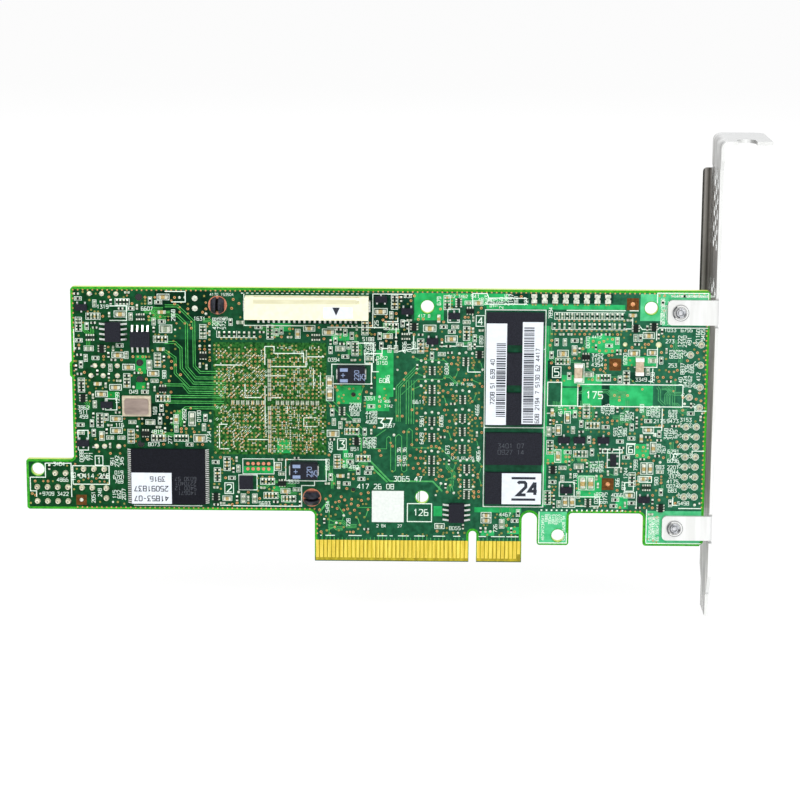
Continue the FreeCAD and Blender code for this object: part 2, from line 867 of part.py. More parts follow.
def make_bracket_screws():
    """Two pan-head screws from the component side into the tabs' threads."""
    body = body_of("bracket_screws")
    top = BACK + s.screw_head_tall
    profile = sketch_on(body, "XZ_Plane", -BACK)
    ring(profile, s.screw_head, SCREW_X, s.tab_upper_z)
    upper_head = pad(body, profile, s.screw_head_tall, reverse=True)
    shaft = sketch_on(body, "XZ_Plane", -BACK)
    ring(shaft, s.screw_thread, SCREW_X, s.tab_upper_z)
    upper_shank = pad(body, shaft, BACK + s.sheet_thick + s.collar_tall * 0.5)
    recess = sketch_on(body, "XZ_Plane", -top)
    arm, reach = s.cross_arm / 2, s.cross_reach / 2
    outline(recess, [
        (SCREW_X - reach, s.tab_upper_z - arm), (SCREW_X - arm, s.tab_upper_z - arm),
        (SCREW_X - arm, s.tab_upper_z - reach), (SCREW_X + arm, s.tab_upper_z - reach),
        (SCREW_X + arm, s.tab_upper_z - arm), (SCREW_X + reach, s.tab_upper_z - arm),
        (SCREW_X + reach, s.tab_upper_z + arm), (SCREW_X + arm, s.tab_upper_z + arm),
        (SCREW_X + arm, s.tab_upper_z + reach), (SCREW_X - arm, s.tab_upper_z + reach),
        (SCREW_X - arm, s.tab_upper_z + arm), (SCREW_X - reach, s.tab_upper_z + arm),
    ])
    cross = pocket(body, recess, s.cross_deep, reverse=True)
    row = repeat(body, [upper_head, upper_shank, cross], "Z_Axis",
                 s.tab_upper_z - s.tab_lower_z, 2)
    row.Reversed = True
    return keep("bracket_screws", body)


# ---------------------------------------------------------------- processor and heatsink

LID_BASE = BACK + s.chip_thick
PAD_BASE = LID_BASE + s.lid_thick
SINK_BASE = PAD_BASE + s.pad_thick
SINK_LEFT = s.processor_x - s.sink_wide / 2
SINK_RIGHT = s.processor_x + s.sink_wide / 2
SINK_LOW = s.processor_z - s.sink_tall / 2
SINK_HIGH = s.processor_z + s.sink_tall / 2
EAR_TOP = SINK_BASE + s.ear_thick


def square(name, side, y_low, thick):
    """A square plate centred on the processor."""
    x, z = s.place("processor")
    return block(name, (x - side / 2, x + side / 2), (y_low, y_low + thick),
                 (z - side / 2, z + side / 2))


def make_processor():
    keep("processor_package", square("processor_package", s.chip_side, BACK, s.chip_thick))
    keep("processor_lid", square("processor_lid", s.lid_side, LID_BASE, s.lid_thick))
    keep("thermal_pad", square("thermal_pad", s.pad_side, PAD_BASE, s.pad_thick))


def make_heatsink():
    """A finned plate with two diagonal ears for the push pins."""
    body = body_of("heatsink")
    base = sketch_on(body, "XZ_Plane", -SINK_BASE)
    rectangle(base, (SINK_LEFT, SINK_RIGHT), (SINK_LOW, SINK_HIGH))
    pad(body, base, s.sink_base, reverse=True)
    ears = sketch_on(body, "XZ_Plane", -SINK_BASE)
    reach = s.ear_round
    for name, edge, sign in (("pin_upper", SINK_HIGH - 1, 1), ("pin_lower", SINK_LOW + 1, -1)):
        x, z = s.place(name)
        outline(ears, [
            (x - reach, edge), (x + reach, edge),
            (x + reach, z + reach * sign, reach * 0.98),
            (x - reach, z + reach * sign, reach * 0.98),
        ][::sign])
    pad(body, ears, s.ear_thick, reverse=True)
    bores = sketch_on(body, "XZ_Plane", -SINK_BASE)
    for name in ("pin_upper", "pin_lower"):
        polygon(bores, 8, s.pin_hole, *s.place(name))
    pocket(body, bores, s.ear_thick)
    fin = sketch_on(body, "YZ_Plane", SINK_LEFT)
    root = SINK_BASE + s.sink_base
    rectangle(fin, (root - 0.2, root + s.fin_tall), (SINK_LOW, SINK_LOW + s.fin_thick))
    first = pad(body, fin, s.sink_wide)
    repeat(body, [first], "Z_Axis", s.sink_tall - s.fin_thick, s.fin_count)
    return keep("heatsink", body)


def make_push_pin(node, place, turned):
    """A nylon pin: head, shaft and a slotted barb that grips the solder face."""
    body = body_of(node)
    shaft, head, barb = s.pin_shaft / 2, s.pin_head / 2, s.barb_wide / 2
    top = EAR_TOP + s.pin_rise
    revolve(body, [
        (0, -s.barb_long), (shaft * 0.6, -s.barb_long), (barb, -s.barb_long * 0.3), (barb, 0),
        (shaft, 0), (shaft, top), (head, top), (head, top + s.pin_head_tall),
        (0, top + s.pin_head_tall),
    ])
    # two flats narrow the barb, and a slot lets it spring together
    flats = sketch_on(body, "XY_Plane")
    side = s.barb_flat / 2
    rectangle(flats, (side, barb + 1), (-s.barb_long - 1, FACE))
    rectangle(flats, (-barb - 1, -side), (-s.barb_long - 1, FACE))
    rectangle(flats, (-s.barb_slot / 2, s.barb_slot / 2), (-s.barb_long - 1, BACK))
    feature = pocket(body, flats, s.barb_wide + 2)
    feature.SideType = "Symmetric"
    x, z = s.place(place)
    put(body, x, 0, z, quarter_turns=turned)
    return keep(node, body)


def make_spring(node, place):
    """The coil spring between a push pin's head and the heatsink's ear, in short straight runs."""
    x, z = s.place(place)
    wire, runs = s.spring_wire.number, 10
    reach = (s.spring_wide.number - wire) / 2
    low, rise = EAR_TOP.number + wire / 2, s.pin_rise.number - wire
    count = round(s.spring_turns.number * runs)
    path = []
    for i in range(count + 1):
        turn = 2 * math.pi * i / runs
        path.append(V(reach * math.cos(turn), low + rise * i / count, reach * math.sin(turn)))
    start = path[1] - path[0]
    corners = []
    for i in range(7):
        turn = math.radians(60 * i)
        side = V(math.cos(turn), math.sin(turn), 0) * (wire / 2)
        corners.append(path[0] + FreeCAD.Rotation(V(0, 0, 1), start).multVec(side))
    section = Part.makePolygon(corners)
    coil = doc.addObject("Part::Feature", node)
    coil.Shape = Part.makePolygon(path).makePipeShell([section], True, False, 1)
    put(coil, x, 0, z)
    return keep(node, coil)


# ---------------------------------------------------------------- serial-attached ports


def make_port(suffix, z):
    """A shielded right-angle port that opens towards the card's left end."""
    front = s.port_lower_x - s.cage_front
    rear = front + s.cage_deep
    half = s.cage_wide / 2
    wall = s.cage_wall
    top = BACK + s.cage_tall

    inner = half - wall
    rear_front = rear - s.port_rear
    cage = body_of("port_cage_" + suffix)
    shell = sketch_on(cage, "YZ_Plane", front)
    rectangle(shell, (BACK, top), (z - half, z + half))
    rectangle(shell, (BACK + wall, top - wall), (z - inner, z + inner))
    pad(cage, shell, s.cage_deep)
    windows = sketch_on(cage, "XZ_Plane", -top)
    for side in (-1, 1):
        middle = z + half * 0.55 * side
        rectangle(windows, (front + 4.0, front + 6.2), (middle - 1.6, middle + 1.6))
    pocket(cage, windows, wall, reverse=True)
    floor = sketch_on(cage, "XZ_Plane", -BACK)
    rectangle(floor, (rear_front, rear + 0.1), (z - inner, z + inner))
    pocket(cage, floor, wall)
    pins = sketch_on(cage, "XZ_Plane", -BACK - wall)
    pin_half = s.shield_pin / 2
    for side in (-1, 1):
        middle = z + SHIELD_OUT * side
        for x in SHIELD_X:
            rectangle(pins, (x - pin_half, x + pin_half), (middle - wall / 2, middle + wall / 2))
    pad(cage, pins, BACK + wall + s.post_tip * 0.8)
    keep("port_cage_" + suffix, cage)

    # insulator: a rear block, a nose with the plug's slot, and two pegs into the board
    middle_y = BACK + s.cage_tall / 2
    nose_front = front + s.nose_inset
    slot_low, slot_high = middle_y - s.slot_tall / 2, middle_y + s.slot_tall / 2
    insulator = body_of("port_insulator_" + suffix)
    rear_block = sketch_on(insulator, "YZ_Plane", rear_front)
    rectangle(rear_block, (BACK, top - wall), (z - inner, z + inner))
    pad(insulator, rear_block, s.port_rear)
    nose = sketch_on(insulator, "YZ_Plane", nose_front)
    reach = s.nose_wide / 2
    rectangle(nose, (middle_y - s.nose_tall / 2, middle_y + s.nose_tall / 2), (z - reach, z + reach))
    pad(insulator, nose, rear_front + 0.5 - nose_front)
    mouth = sketch_on(insulator, "YZ_Plane", nose_front)
    rectangle(mouth, (slot_low, slot_high), (z - reach + s.socket_wall, z + reach - s.socket_wall))
    pocket(insulator, mouth, s.slot_deep, reverse=True)
    pegs = sketch_on(insulator, "XZ_Plane", -BACK)
    for side in (-1, 1):
        polygon(pegs, 8, s.peg_hole - s.peg_clear, PEG_X, z + s.peg_spread / 2 * side)
    pad(insulator, pegs, BACK)
    keep("port_insulator_" + suffix, insulator)

    contacts = body_of("port_contacts_" + suffix)
    span = s.port_pitch * (s.port_contacts - 1)
    low = z - span / 2 - s.port_contact_wide / 2
    faces = sketch_on(contacts, "XY_Plane", low)
    thick = s.port_contact_thick
    rectangle(faces, (nose_front + 0.4, nose_front + s.slot_deep), (slot_high - thick, slot_high))
    rectangle(faces, (rear, rear + s.port_tail), (BACK, BACK + s.lead_thick))
    strip = pad(contacts, faces, s.port_contact_wide)
    repeat(contacts, [strip], "Z_Axis", span, s.port_contacts)
    keep("port_contacts_" + suffix, contacts)


# ---------------------------------------------------------------- connectors


def make_backup_connector():
    """The side-entry connector for the cache backup cable, on the solder side."""
    x, z = s.place("backup")
    half_x, half_z = s.backup_wide / 2, s.backup_tall / 2
    body = body_of("backup_connector")
    front = s.backup_thick
    shell = sketch_on(body, "XZ_Plane")
    rectangle(shell, (x - half_x, x + half_x), (z - half_z, z + half_z))
    pad(body, shell, front)
    groove = sketch_on(body, "XZ_Plane", front)
    reach = s.backup_groove / 2
    rectangle(groove, (x - reach, x + reach), (z + half_z - 1.35, z + half_z - 0.6))
    pocket(body, groove, 0.3)
    mouth = sketch_on(body, "XY_Plane", z + half_z)
    middle = -s.backup_thick / 2
    tall = s.backup_slot_tall / 2
    rectangle(mouth, (x - reach, x + reach), (middle - tall, middle + tall))
    pocket(body, mouth, s.backup_slot_deep)
    keep("backup_connector", body)

    contacts = body_of("backup_contacts")
    span = s.backup_pitch * (s.backup_contacts - 1)
    low_z = z - half_z
    first = x - span / 2 - s.backup_contact_wide / 2
    profile = sketch_on(contacts, "YZ_Plane", first)
    foot = s.lead_thick
    outline(profile, [
        (FACE, low_z - s.backup_tail), (FACE, low_z), (-foot * 6, low_z), (-foot, low_z - s.backup_tail),
    ])
    lead = pad(contacts, profile, s.backup_contact_wide)
    repeat(contacts, [lead], "X_Axis", span, s.backup_contacts)
    keep("backup_contacts", contacts)

    tabs = []
    for side in (-1, 1):
        edge = x + half_x * side
        low, high = (edge, edge + 0.45) if side > 0 else (edge - 0.45, edge)
        tabs.append(block("hold_down", (low, high), (-s.backup_thick * 0.55, FACE), (z - 0.9, z + 1.7)))
    keep("backup_hold_downs", group("backup_hold_downs", tabs))


def make_socket(node, place, wide, long, tall, pegs):
    """A moulded socket on the component side, open away from the board, with two pegs."""
    x, z = place
    body = body_of(node)
    shell = sketch_on(body, "XZ_Plane", -BACK)
    rectangle(shell, (x - wide / 2, x + wide / 2), (z - long / 2, z + long / 2))
    pad(body, shell, tall, reverse=True)
    mouth = sketch_on(body, "XZ_Plane", -BACK - tall)
    wall = s.socket_wall
    rectangle(mouth, (x - wide / 2 + wall, x + wide / 2 - wall),
              (z - long / 2 + wall, z + long / 2 - wall))
    pocket(body, mouth, tall - s.socket_floor, reverse=True)
    feet = sketch_on(body, "XZ_Plane", -BACK)
    for peg_x, peg_z, diameter in pegs:
        polygon(feet, 8, diameter - s.peg_clear, peg_x, peg_z)
    pad(body, feet, BACK * 0.8)
    keep(node, body)


def make_sockets():
    """The sockets for the cache backup module and for its battery lead."""
    make_socket("module_socket", s.place("socket"), s.socket_wide, s.socket_long, s.socket_tall,
                SOCKET_PEGS)
    make_socket("battery_lead_socket", s.place("lead_socket"), s.lead_socket_wide, s.lead_socket_deep,
                s.lead_socket_tall, LEAD_SOCKET_PEGS)


def make_headers():
    """Pin headers: plastic blocks on the component face, with posts through the board."""
    tip = s.post_tip
    half = s.post_side / 2
    blocks = {"tail": [], "bracket": []}
    for name, (x, z, columns, rows) in HEADERS.items():
        side = "tail" if name.startswith("tail") else "bracket"
        first_x, first_z = s.place(name)
        edge = s.post_block / 2
        blocks[side].append((name, (first_x - edge, first_x + s.post_pitch * (columns - 1) + edge),
                             (first_z - edge, first_z + s.post_pitch * (rows - 1) + edge)))
    for name in INDICATORS:
        x, z = s.place(name)
        edge = s.post_block / 2
        blocks["bracket"].append((name, (x - edge, x + s.post_pitch + edge),
                                  (z - s.post_pitch - edge, z + s.post_pitch + edge)))
    top = BACK + s.post_block_thick
    for side, posts in header_posts().items():
        pins = [block("post", (x - half, x + half), (-tip, BACK + s.post_rise), (z - half, z + half))
                for x, z in posts]
        keep(side + "_header_posts", group(side + "_header_posts", pins))
        bodies = [block(name, x, (BACK, top), z) for name, x, z in blocks[side]]
        wells = [block("well", (x - half, x + half), (BACK - 0.1, top + 0.1), (z - half, z + half))
                 for x, z in posts]
        bored = cut(side + "_header_blocks", group("solid_blocks", bodies), group("wells", wells))
        keep(side + "_header_blocks", bored)


# ---------------------------------------------------------------- packages


def straight_package(node, place, wide, tall, thick, outward=True):
    """A sawn package that stands on the board through solder balls, with upright sides."""
    x, z = place
    low, high = (-thick, FACE) if outward else (BACK, BACK + thick)
    return keep(node, block(node, (x - wide / 2, x + wide / 2), (low, high),
                            (z - tall / 2, z + tall / 2)))


def moulded_body(name, place, wide, tall, thick, turns=0):
    """A moulded body whose sides lean inwards both ways from the parting line."""
    body = body_of(name)
    half = (thick - s.stand_off) / 2
    sketch = sketch_on(body, "XZ_Plane", s.stand_off + half)
    rectangle(sketch, (-wide / 2, wide / 2), (-tall / 2, tall / 2))
    feature = pad(body, sketch, half, draft=s.package_draft)
    feature.SideType = "Two sides"
    feature.Length2 = half.number
    feature.TaperAngle2 = -s.package_draft.number
    bind(feature, "Length2", half)
    bind(feature, "TaperAngle2", -s.package_draft)
    put(body, place[0], 0, place[1], turns)
    return body


def package_leads(name, place, half_body, reach, thick_body, pitch, count, wide, turns=0):
    """Two rows of leads that slant from a package's sides down to the solder face."""
    body = body_of(name)
    span = pitch * (count - 1)
    sketch = sketch_on(body, "XY_Plane", -span / 2 - wide / 2)
    thick = s.lead_thick
    exit_y = -(thick_body + s.stand_off) / 2
    half_foot = half_body + reach
    for side in (-1, 1):
        corners = [(half_body, exit_y - thick / 2), (half_foot, -thick), (half_foot, FACE),
                   (half_body, exit_y + thick / 2)]
        outline(sketch, [(corner[0] * side, corner[1]) for corner in corners][::side])
    lead = pad(body, sketch, wide)
    repeat(body, [lead], "Z_Axis", span, count)
    put(body, place[0], 0, place[1], turns)
    return body


def make_memory():
    x, z = s.place("dram")
    size = (s.dram_wide, s.dram_tall, s.dram_thick)
    for i in range(int(s.dram_solder_count.number)):
        straight_package("memory_chip_%d" % (i + 1), (x, z + s.dram_pitch * i), *size)
    first = int(s.dram_solder_count.number) + 1
    for i in range(int(s.dram_component_count.number)):
        straight_package("memory_chip_%d" % (i + first), (x, z + s.dram_pitch * (i + 0.5)), *size,
                         outward=False)


def make_logic():
    """The flash memory and three small eight-lead chips."""
    flash = s.place("flash")
    keep("flash_package",
         moulded_body("flash_package", flash, s.flash_wide, s.flash_tall, s.flash_thick))
    keep("flash_leads", package_leads("flash_leads", flash, s.flash_wide / 2, s.flash_reach,
                                      s.flash_thick, s.flash_pitch, s.flash_leads, s.flash_lead_wide))
    leads = []
    for name, turns in (("soic_a", 0), ("soic_b", 1), ("soic_c", 0)):
        place = s.place(name)
        node = "logic_chip_" + name[-1]
        keep(node, moulded_body(node, place, s.soic_wide, s.soic_long, s.soic_thick, turns))
        leads.append(package_leads(node + "_leads", place, s.soic_wide / 2, s.soic_reach,
                                   s.soic_thick, s.soic_pitch, s.soic_leads, s.soic_lead_wide, turns))
    keep("logic_chip_leads", group("logic_chip_leads", leads))


def make_clock():
    x, z = s.place("clock")
    half_x, half_z = s.clock_wide / 2, s.clock_tall / 2
    base = body_of("clock_base")
    sketch = sketch_on(base, "XZ_Plane")
    rectangle(sketch, (x - half_x, x + half_x), (z - half_z, z + half_z))
    pad(base, sketch, s.clock_base)
    keep("clock_base", base)
    lid = body_of("clock_lid")
    rim = s.clock_rim
    sketch = sketch_on(lid, "XZ_Plane", s.clock_base)
    rectangle(sketch, (x - half_x + rim, x + half_x - rim), (z - half_z + rim, z + half_z - rim), 0.6)
    pad(lid, sketch, s.clock_lid)
    keep("clock_lid", lid)


def make_driver():
    straight_package("power_driver", s.place("driver"), s.driver_side, s.driver_side, s.driver_thick)


def make_tantalums():
    """Two moulded tantalum capacitors and their folded terminals."""
    foot, half_tall = s.tantalum_foot, s.tantalum_terminal / 2
    bodies, terminals = [], []
    for name in ("tantalum_a", "tantalum_b"):
        x, z = s.place(name)
        bodies.append(moulded_body(name, (x, z), s.tantalum_long - foot * 2, s.tantalum_tall,
                                   s.tantalum_thick))
        for side in (-1, 1):
            outer = x + s.tantalum_long / 2 * side
            inner = outer - foot * side
            span = (inner, outer) if side > 0 else (outer, inner)
            terminals.append(block("terminal", span, (-s.tantalum_thick * 0.6, FACE),
                                   (z - half_tall, z + half_tall)))
    keep("tantalum_capacitors", group("tantalum_capacitors", bodies))
    keep("tantalum_terminals", group("tantalum_terminals", terminals))


def make_ceramics():
    """Two large ceramic chip capacitors, each with a metal cap fired on at both ends."""
    half_x, half_z = s.ceramic_wide / 2, s.ceramic_long / 2
    cap, step = s.ceramic_cap, s.ceramic_step
    chips = []
    for name in ("ceramic_a", "ceramic_b"):
        x, z = s.place(name)
        core = block("core", (x - half_x + step, x + half_x - step), (-s.ceramic_thick + step, -step),
                     (z - half_z + step, z + half_z - step))
        caps = [block("cap", (x - half_x, x + half_x), (-s.ceramic_thick, FACE), span)
                for span in ((z - half_z, z - half_z + cap), (z + half_z - cap, z + half_z))]
        chips.append(fuse(name, [core] + caps))
    keep("ceramic_capacitors", group("ceramic_capacitors", chips))


def make_small_packages():
    """Three-leg packages: all bodies in one node and all legs in another."""
    bodies, legs = [], []
    for name, (x, z, turns) in SMALL_PACKAGES.items():
        place = s.place(name)
        half_x, half_z = s.sot_wide / 2, s.sot_tall / 2
        if turns % 2:
            half_x, half_z = half_z, half_x
        bodies.append(block(name + "_case", (place[0] - half_x, place[0] + half_x),
                            (-s.sot_thick, -s.sot_lift),
                            (place[1] - half_z, place[1] + half_z)))
        direction = {0: 1, 1: 1, 2: -1}[turns]
        for side, out in ((-s.sot_pitch, 1), (s.sot_pitch, 1), (s.sot_pitch * 0, -1)):
            end = s.sot_tall / 2 * (out * direction)
            tip = end + s.sot_leg_reach * (out * direction)
            along = (end, tip) if out * direction > 0 else (tip, end)
            half = s.sot_leg_wide / 2
            across = (side - half, side + half)
            x_span, z_span = (along, across) if turns == 1 else (across, along)
            legs.append(block(name + "_leg", [place[0] + k for k in x_span],
                              (-s.sot_leg_thick, FACE), [place[1] + k for k in z_span]))
    keep("small_packages", group("small_packages", bodies))
    keep("small_package_legs", group("small_package_legs", legs))


def make_labels():
    """Paper labels that lie on the memory chips and on the flash memory."""
    x, z = s.place("dram")
    top = s.dram_thick

    def sticker(node, base, x_span, z_span):
        body = body_of(node)
        sketch = sketch_on(body, "XZ_Plane", base)
        rectangle(sketch, x_span, z_span)
        pad(body, sketch, s.label_thick)
        keep(node, body)

    low = z + s.dram_pitch * 2 - s.dram_tall / 2 + 0.1
    high = low + 25.3
    left = x - s.dram_wide / 2
    sticker("long_label_left", top, (left - 0.05, left + 4.95), (low, high))
    sticker("long_label_right", top, (x + 1.75, x + s.dram_wide / 2 - 0.25), (low + 0.3, high + 0.4))
    half = s.dram_tall / 2 * 0.98
    sticker("square_label", top, (x - 2.85, x + s.dram_wide / 2 - 0.15), (z - half, z + half))
    x, z = s.place("flash")
    left = x - s.flash_wide / 2 + 0.15
    low = z - s.flash_tall / 2 + 0.15
    sticker("flash_label", s.flash_thick, (left, left + 9.9), (low, low + 7.9))
    x, z = s.place("backup")
    sticker("connector_label", s.backup_thick, (x + 4.1, x + 11.2), (z - 2.2, z + 0.6))


def make_power_parts():
    """Inductors of the component side's power supply."""
    for name in ("coil_a", "coil_b", "coil_c"):
        x, z = s.place(name)
        body = body_of("power_" + name)
        sketch = sketch_on(body, "XZ_Plane", -BACK)
        polygon(sketch, 8, s.coil_side, x, z)
        pad(body, sketch, s.coil_thick, reverse=True)
        keep("power_" + name, body)


make_circuit_board()
make_edge_contacts("edge_contacts_solder", -s.contact_thick, FACE)
make_edge_contacts("edge_contacts_component", BACK, BACK + s.contact_thick)
make_bracket()
make_bracket_screws()
make_processor()
make_heatsink()
make_push_pin("push_pin_upper", "pin_upper", 0)
make_push_pin("push_pin_lower", "pin_lower", 1)
make_spring("pin_spring_upper", "pin_upper")
make_spring("pin_spring_lower", "pin_lower")
make_port("lower", PORT_Z[0])
make_port("upper", PORT_Z[1])
make_backup_connector()
make_sockets()
make_headers()
make_memory()
make_logic()
make_clock()
make_driver()
make_tantalums()
make_ceramics()
make_small_packages()
make_labels()
make_power_parts()
doc.recompute()

for item in doc.Objects:
    if "Invalid" in item.State or "Error" in item.State:
        raise RuntimeError("%s: %s" % (item.Label, item.State))
for node, piece in PIECES.items():
    if piece.Shape.isNull() or not piece.Shape.isValid() or not piece.Shape.Solids:
        raise RuntimeError("%s has no sound shape" % node)

os.makedirs("parts", exist_ok=True)
for node, piece in PIECES.items():
    piece.Shape.exportStep("parts/%s.step" % node)
print("%d sub-parts written" % len(PIECES))
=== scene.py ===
"""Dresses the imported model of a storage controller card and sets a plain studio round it.

Every size is in millimetres in the frame of the model: X runs along the card towards its
bracket, Z runs up from the foot of the gold contacts, and the solder face looks along -Y.
"""
import json
import logging
import math
import random
from collections.abc import Iterable, Sequence
from dataclasses import dataclass, field
from enum import Enum
from functools import cache

import bmesh
import bpy
from mathutils import Matrix, Vector


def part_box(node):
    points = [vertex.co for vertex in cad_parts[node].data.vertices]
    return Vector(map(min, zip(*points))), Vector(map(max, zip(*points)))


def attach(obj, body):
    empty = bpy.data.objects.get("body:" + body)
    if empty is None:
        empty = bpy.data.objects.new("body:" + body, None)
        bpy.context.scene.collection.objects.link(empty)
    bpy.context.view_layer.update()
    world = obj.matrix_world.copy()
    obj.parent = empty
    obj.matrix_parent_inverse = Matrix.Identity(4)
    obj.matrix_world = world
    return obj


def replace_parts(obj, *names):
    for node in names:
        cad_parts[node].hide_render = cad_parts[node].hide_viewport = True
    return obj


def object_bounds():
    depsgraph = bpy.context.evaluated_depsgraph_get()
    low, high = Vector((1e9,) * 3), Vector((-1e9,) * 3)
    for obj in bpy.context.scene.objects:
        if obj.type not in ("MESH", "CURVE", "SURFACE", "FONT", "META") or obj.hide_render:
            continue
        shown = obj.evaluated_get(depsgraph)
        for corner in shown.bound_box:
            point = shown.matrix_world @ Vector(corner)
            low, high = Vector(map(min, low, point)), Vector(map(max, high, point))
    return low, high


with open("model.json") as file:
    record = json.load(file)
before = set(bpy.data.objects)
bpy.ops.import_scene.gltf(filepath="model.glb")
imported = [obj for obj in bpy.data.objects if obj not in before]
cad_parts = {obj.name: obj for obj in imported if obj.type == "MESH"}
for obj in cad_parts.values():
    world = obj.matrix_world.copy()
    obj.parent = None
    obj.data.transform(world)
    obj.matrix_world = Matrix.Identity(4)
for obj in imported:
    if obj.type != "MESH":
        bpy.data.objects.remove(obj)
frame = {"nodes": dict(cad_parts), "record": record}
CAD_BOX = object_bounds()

LOG = logging.getLogger("card")
MM = 0.001
TURN = math.tau
Point = tuple[float, float]
Spot = tuple[float, float, float]
Rect = tuple[float, float, float, float]
Colour = tuple[int, int, int]
Dice = random.Random
Mesh = bpy.types.Mesh
Node = bpy.types.Node
Object = bpy.types.Object
Socket = bpy.types.NodeSocket
Tree = bpy.types.NodeTree

# The strokes of each plain numeral, on a cell 0.6 wide and 1 high.
NUMERALS: dict[str, list[list[Point]]] = {
    "0": [[(0, 0.1), (0, 0.9), (0.1, 1), (0.5, 1), (0.6, 0.9), (0.6, 0.1), (0.5, 0), (0.1, 0),
           (0, 0.1)]],
    "1": [[(0.12, 0.8), (0.32, 1), (0.32, 0)]],
    "2": [[(0, 0.9), (0.1, 1), (0.5, 1), (0.6, 0.9), (0.6, 0.62), (0, 0), (0.6, 0)]],
    "3": [[(0, 1), (0.6, 1), (0.3, 0.58), (0.6, 0.42), (0.6, 0.1), (0.5, 0), (0, 0)]],
    "4": [[(0.45, 0), (0.45, 1)], [(0.42, 0.96), (0, 0.3), (0.6, 0.3)]],
    "5": [[(0.6, 1), (0, 1), (0, 0.56), (0.5, 0.56), (0.6, 0.46), (0.6, 0.1), (0.5, 0), (0, 0)]],
    "6": [[(0.5, 1), (0.1, 1), (0, 0.9), (0, 0), (0.6, 0), (0.6, 0.5), (0.06, 0.5)]],
    "7": [[(0, 1), (0.6, 1), (0.2, 0)]],
    "8": [[(0, 0), (0, 1), (0.6, 1), (0.6, 0), (0, 0)], [(0.05, 0.52), (0.55, 0.52)]],
    "9": [[(0, 0), (0.5, 0), (0.6, 0.1), (0.6, 1), (0, 1), (0, 0.5), (0.54, 0.5)]],
    "+": [[(0.3, 0.22), (0.3, 0.78)], [(0.02, 0.5), (0.58, 0.5)]],
    "-": [[(0.1, 0.5), (0.5, 0.5)]],
    " ": [],
}
# The step from one numeral to the next, and what is left free after the last, in cell heights.
NUMERAL_STEP = 0.86
NUMERAL_GAP = 0.26
# Shapes that lie over one another differ by a hair in height, in rounds of so many steps.
RELIEF_ROUND = 24
TRACK_ROUND = 16
TRACK_RISE = 0.0005
# The sides of a round opening in a copper area.
HOLE_SIDES = 24
NO_LENGTH = 1e-9
# A solid counts as standing on a side of the board beyond these places along Y.
SOLDER_CLEAR, COMPONENT_CLEAR = -0.05, 1.62
# Where the bracket's bent lip starts along Y, and where its far edge is sought, in metres.
LIP_START = (0.0112, 0.0122)
LIP_FAR = 0.0165
# The lower ear of the bracket that a screw holds: its ends along X and its head, in metres.
EAR = (0.048, 0.055, 0.07)


class Side(Enum):
    """The face of the board that a thing lies on."""

    SOLDER = 1
    COMPONENT = -1

    def across(self, x: float) -> float:
        """Gives the distance to the right, as seen by someone who faces this side."""
        return x * self.value

    def level(self) -> float:
        """Gives the place of this face of the board along Y, in metres."""
        low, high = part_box("circuit_board")
        return low.y if self is Side.SOLDER else high.y

    def matrix(self) -> Matrix:
        """Gives the turn from right, up and out on this side, in millimetres, to the frame."""
        s = self.value * MM
        return Matrix(((s, 0, 0, 0), (0, 0, -s, self.level()), (0, MM, 0, 0), (0, 0, 0, 1)))


# Node trees


def feed(tree: Tree, socket: Socket, value: object) -> None:
    """Links an output to an input, or sets the input to a plain value.

    Args:
        tree: The tree.
        socket: The input.
        value: The output or the plain value.
    """
    if isinstance(value, Socket):
        tree.links.new(value, socket)
    else:
        socket.default_value = value


def add_node(tree: Tree, kind: str, inputs: dict[str | int, object], **settings: object) -> Node:
    """Adds a node, sets it and feeds its inputs.

    Args:
        tree: The tree.
        kind: The node's type.
        inputs: What feeds each input: an output or a plain value.
        settings: The node's own settings.
    Returns:
        The node.
    """
    node = tree.nodes.new(kind)
    for name, value in settings.items():
        setattr(node, name, value)
    for name, value in inputs.items():
        feed(tree, node.inputs[name], value)
    return node


def new_group(name: str, outputs: Sequence[str], kind: str = "ShaderNodeTree",
              **inputs: tuple[str, object]) -> tuple[Tree, dict[str, Socket], dict[str, Socket]]:
    """Starts a node group with its input and output sockets.

    Args:
        name: The group's name.
        outputs: The name of each output: numbers, unless it is called Geometry.
        kind: The type of tree.
        inputs: The socket type and the default value of each input.
    Returns:
        The tree, the sockets that its inputs come from and those that its outputs go to.
    """
    tree = bpy.data.node_groups.new(name, kind)
    for label, (socket, value) in inputs.items():
        made = tree.interface.new_socket(label, in_out="INPUT",
                                         socket_type="NodeSocket" + socket)
        if value is not None:
            made.default_value = value
    for label in outputs:
        socket = "Geometry" if label == "Geometry" else "Float"
        tree.interface.new_socket(label, in_out="OUTPUT", socket_type="NodeSocket" + socket)
    return (tree, tree.nodes.new("NodeGroupInput").outputs,
            tree.nodes.new("NodeGroupOutput").inputs)


def calc(tree: Tree, operation: str, *values: object, clamp: bool = False) -> Socket:
    """Adds a sum to a tree.

    Args:
        tree: The tree.
        operation: The kind of sum.
        values: The numbers and outputs that it takes.
        clamp: Whether the result is kept from 0 to 1.
    Returns:
        The result.
    """
    return add_node(tree, "ShaderNodeMath", dict(enumerate(values)), operation=operation,
                    use_clamp=clamp).outputs[0]


def spread(tree: Tree, value: Socket, *ends: object) -> Socket:
    """Stretches a value from one range to another and keeps it inside.

    Args:
        tree: The tree.
        value: The value.
        ends: The two ends it comes from, then the two it goes to where they aren't 0 and 1.
    Returns:
        The result.
    """
    names = ("From Min", "From Max", "To Min", "To Max")
    return add_node(tree, "ShaderNodeMapRange",
                    {"Value": value, **dict(zip(names, ends))}).outputs["Result"]


def axes(tree: Tree, vector: Socket) -> dict[str, Socket]:
    """Gives the three parts of a vector."""
    return add_node(tree, "ShaderNodeSeparateXYZ", {0: vector}).outputs


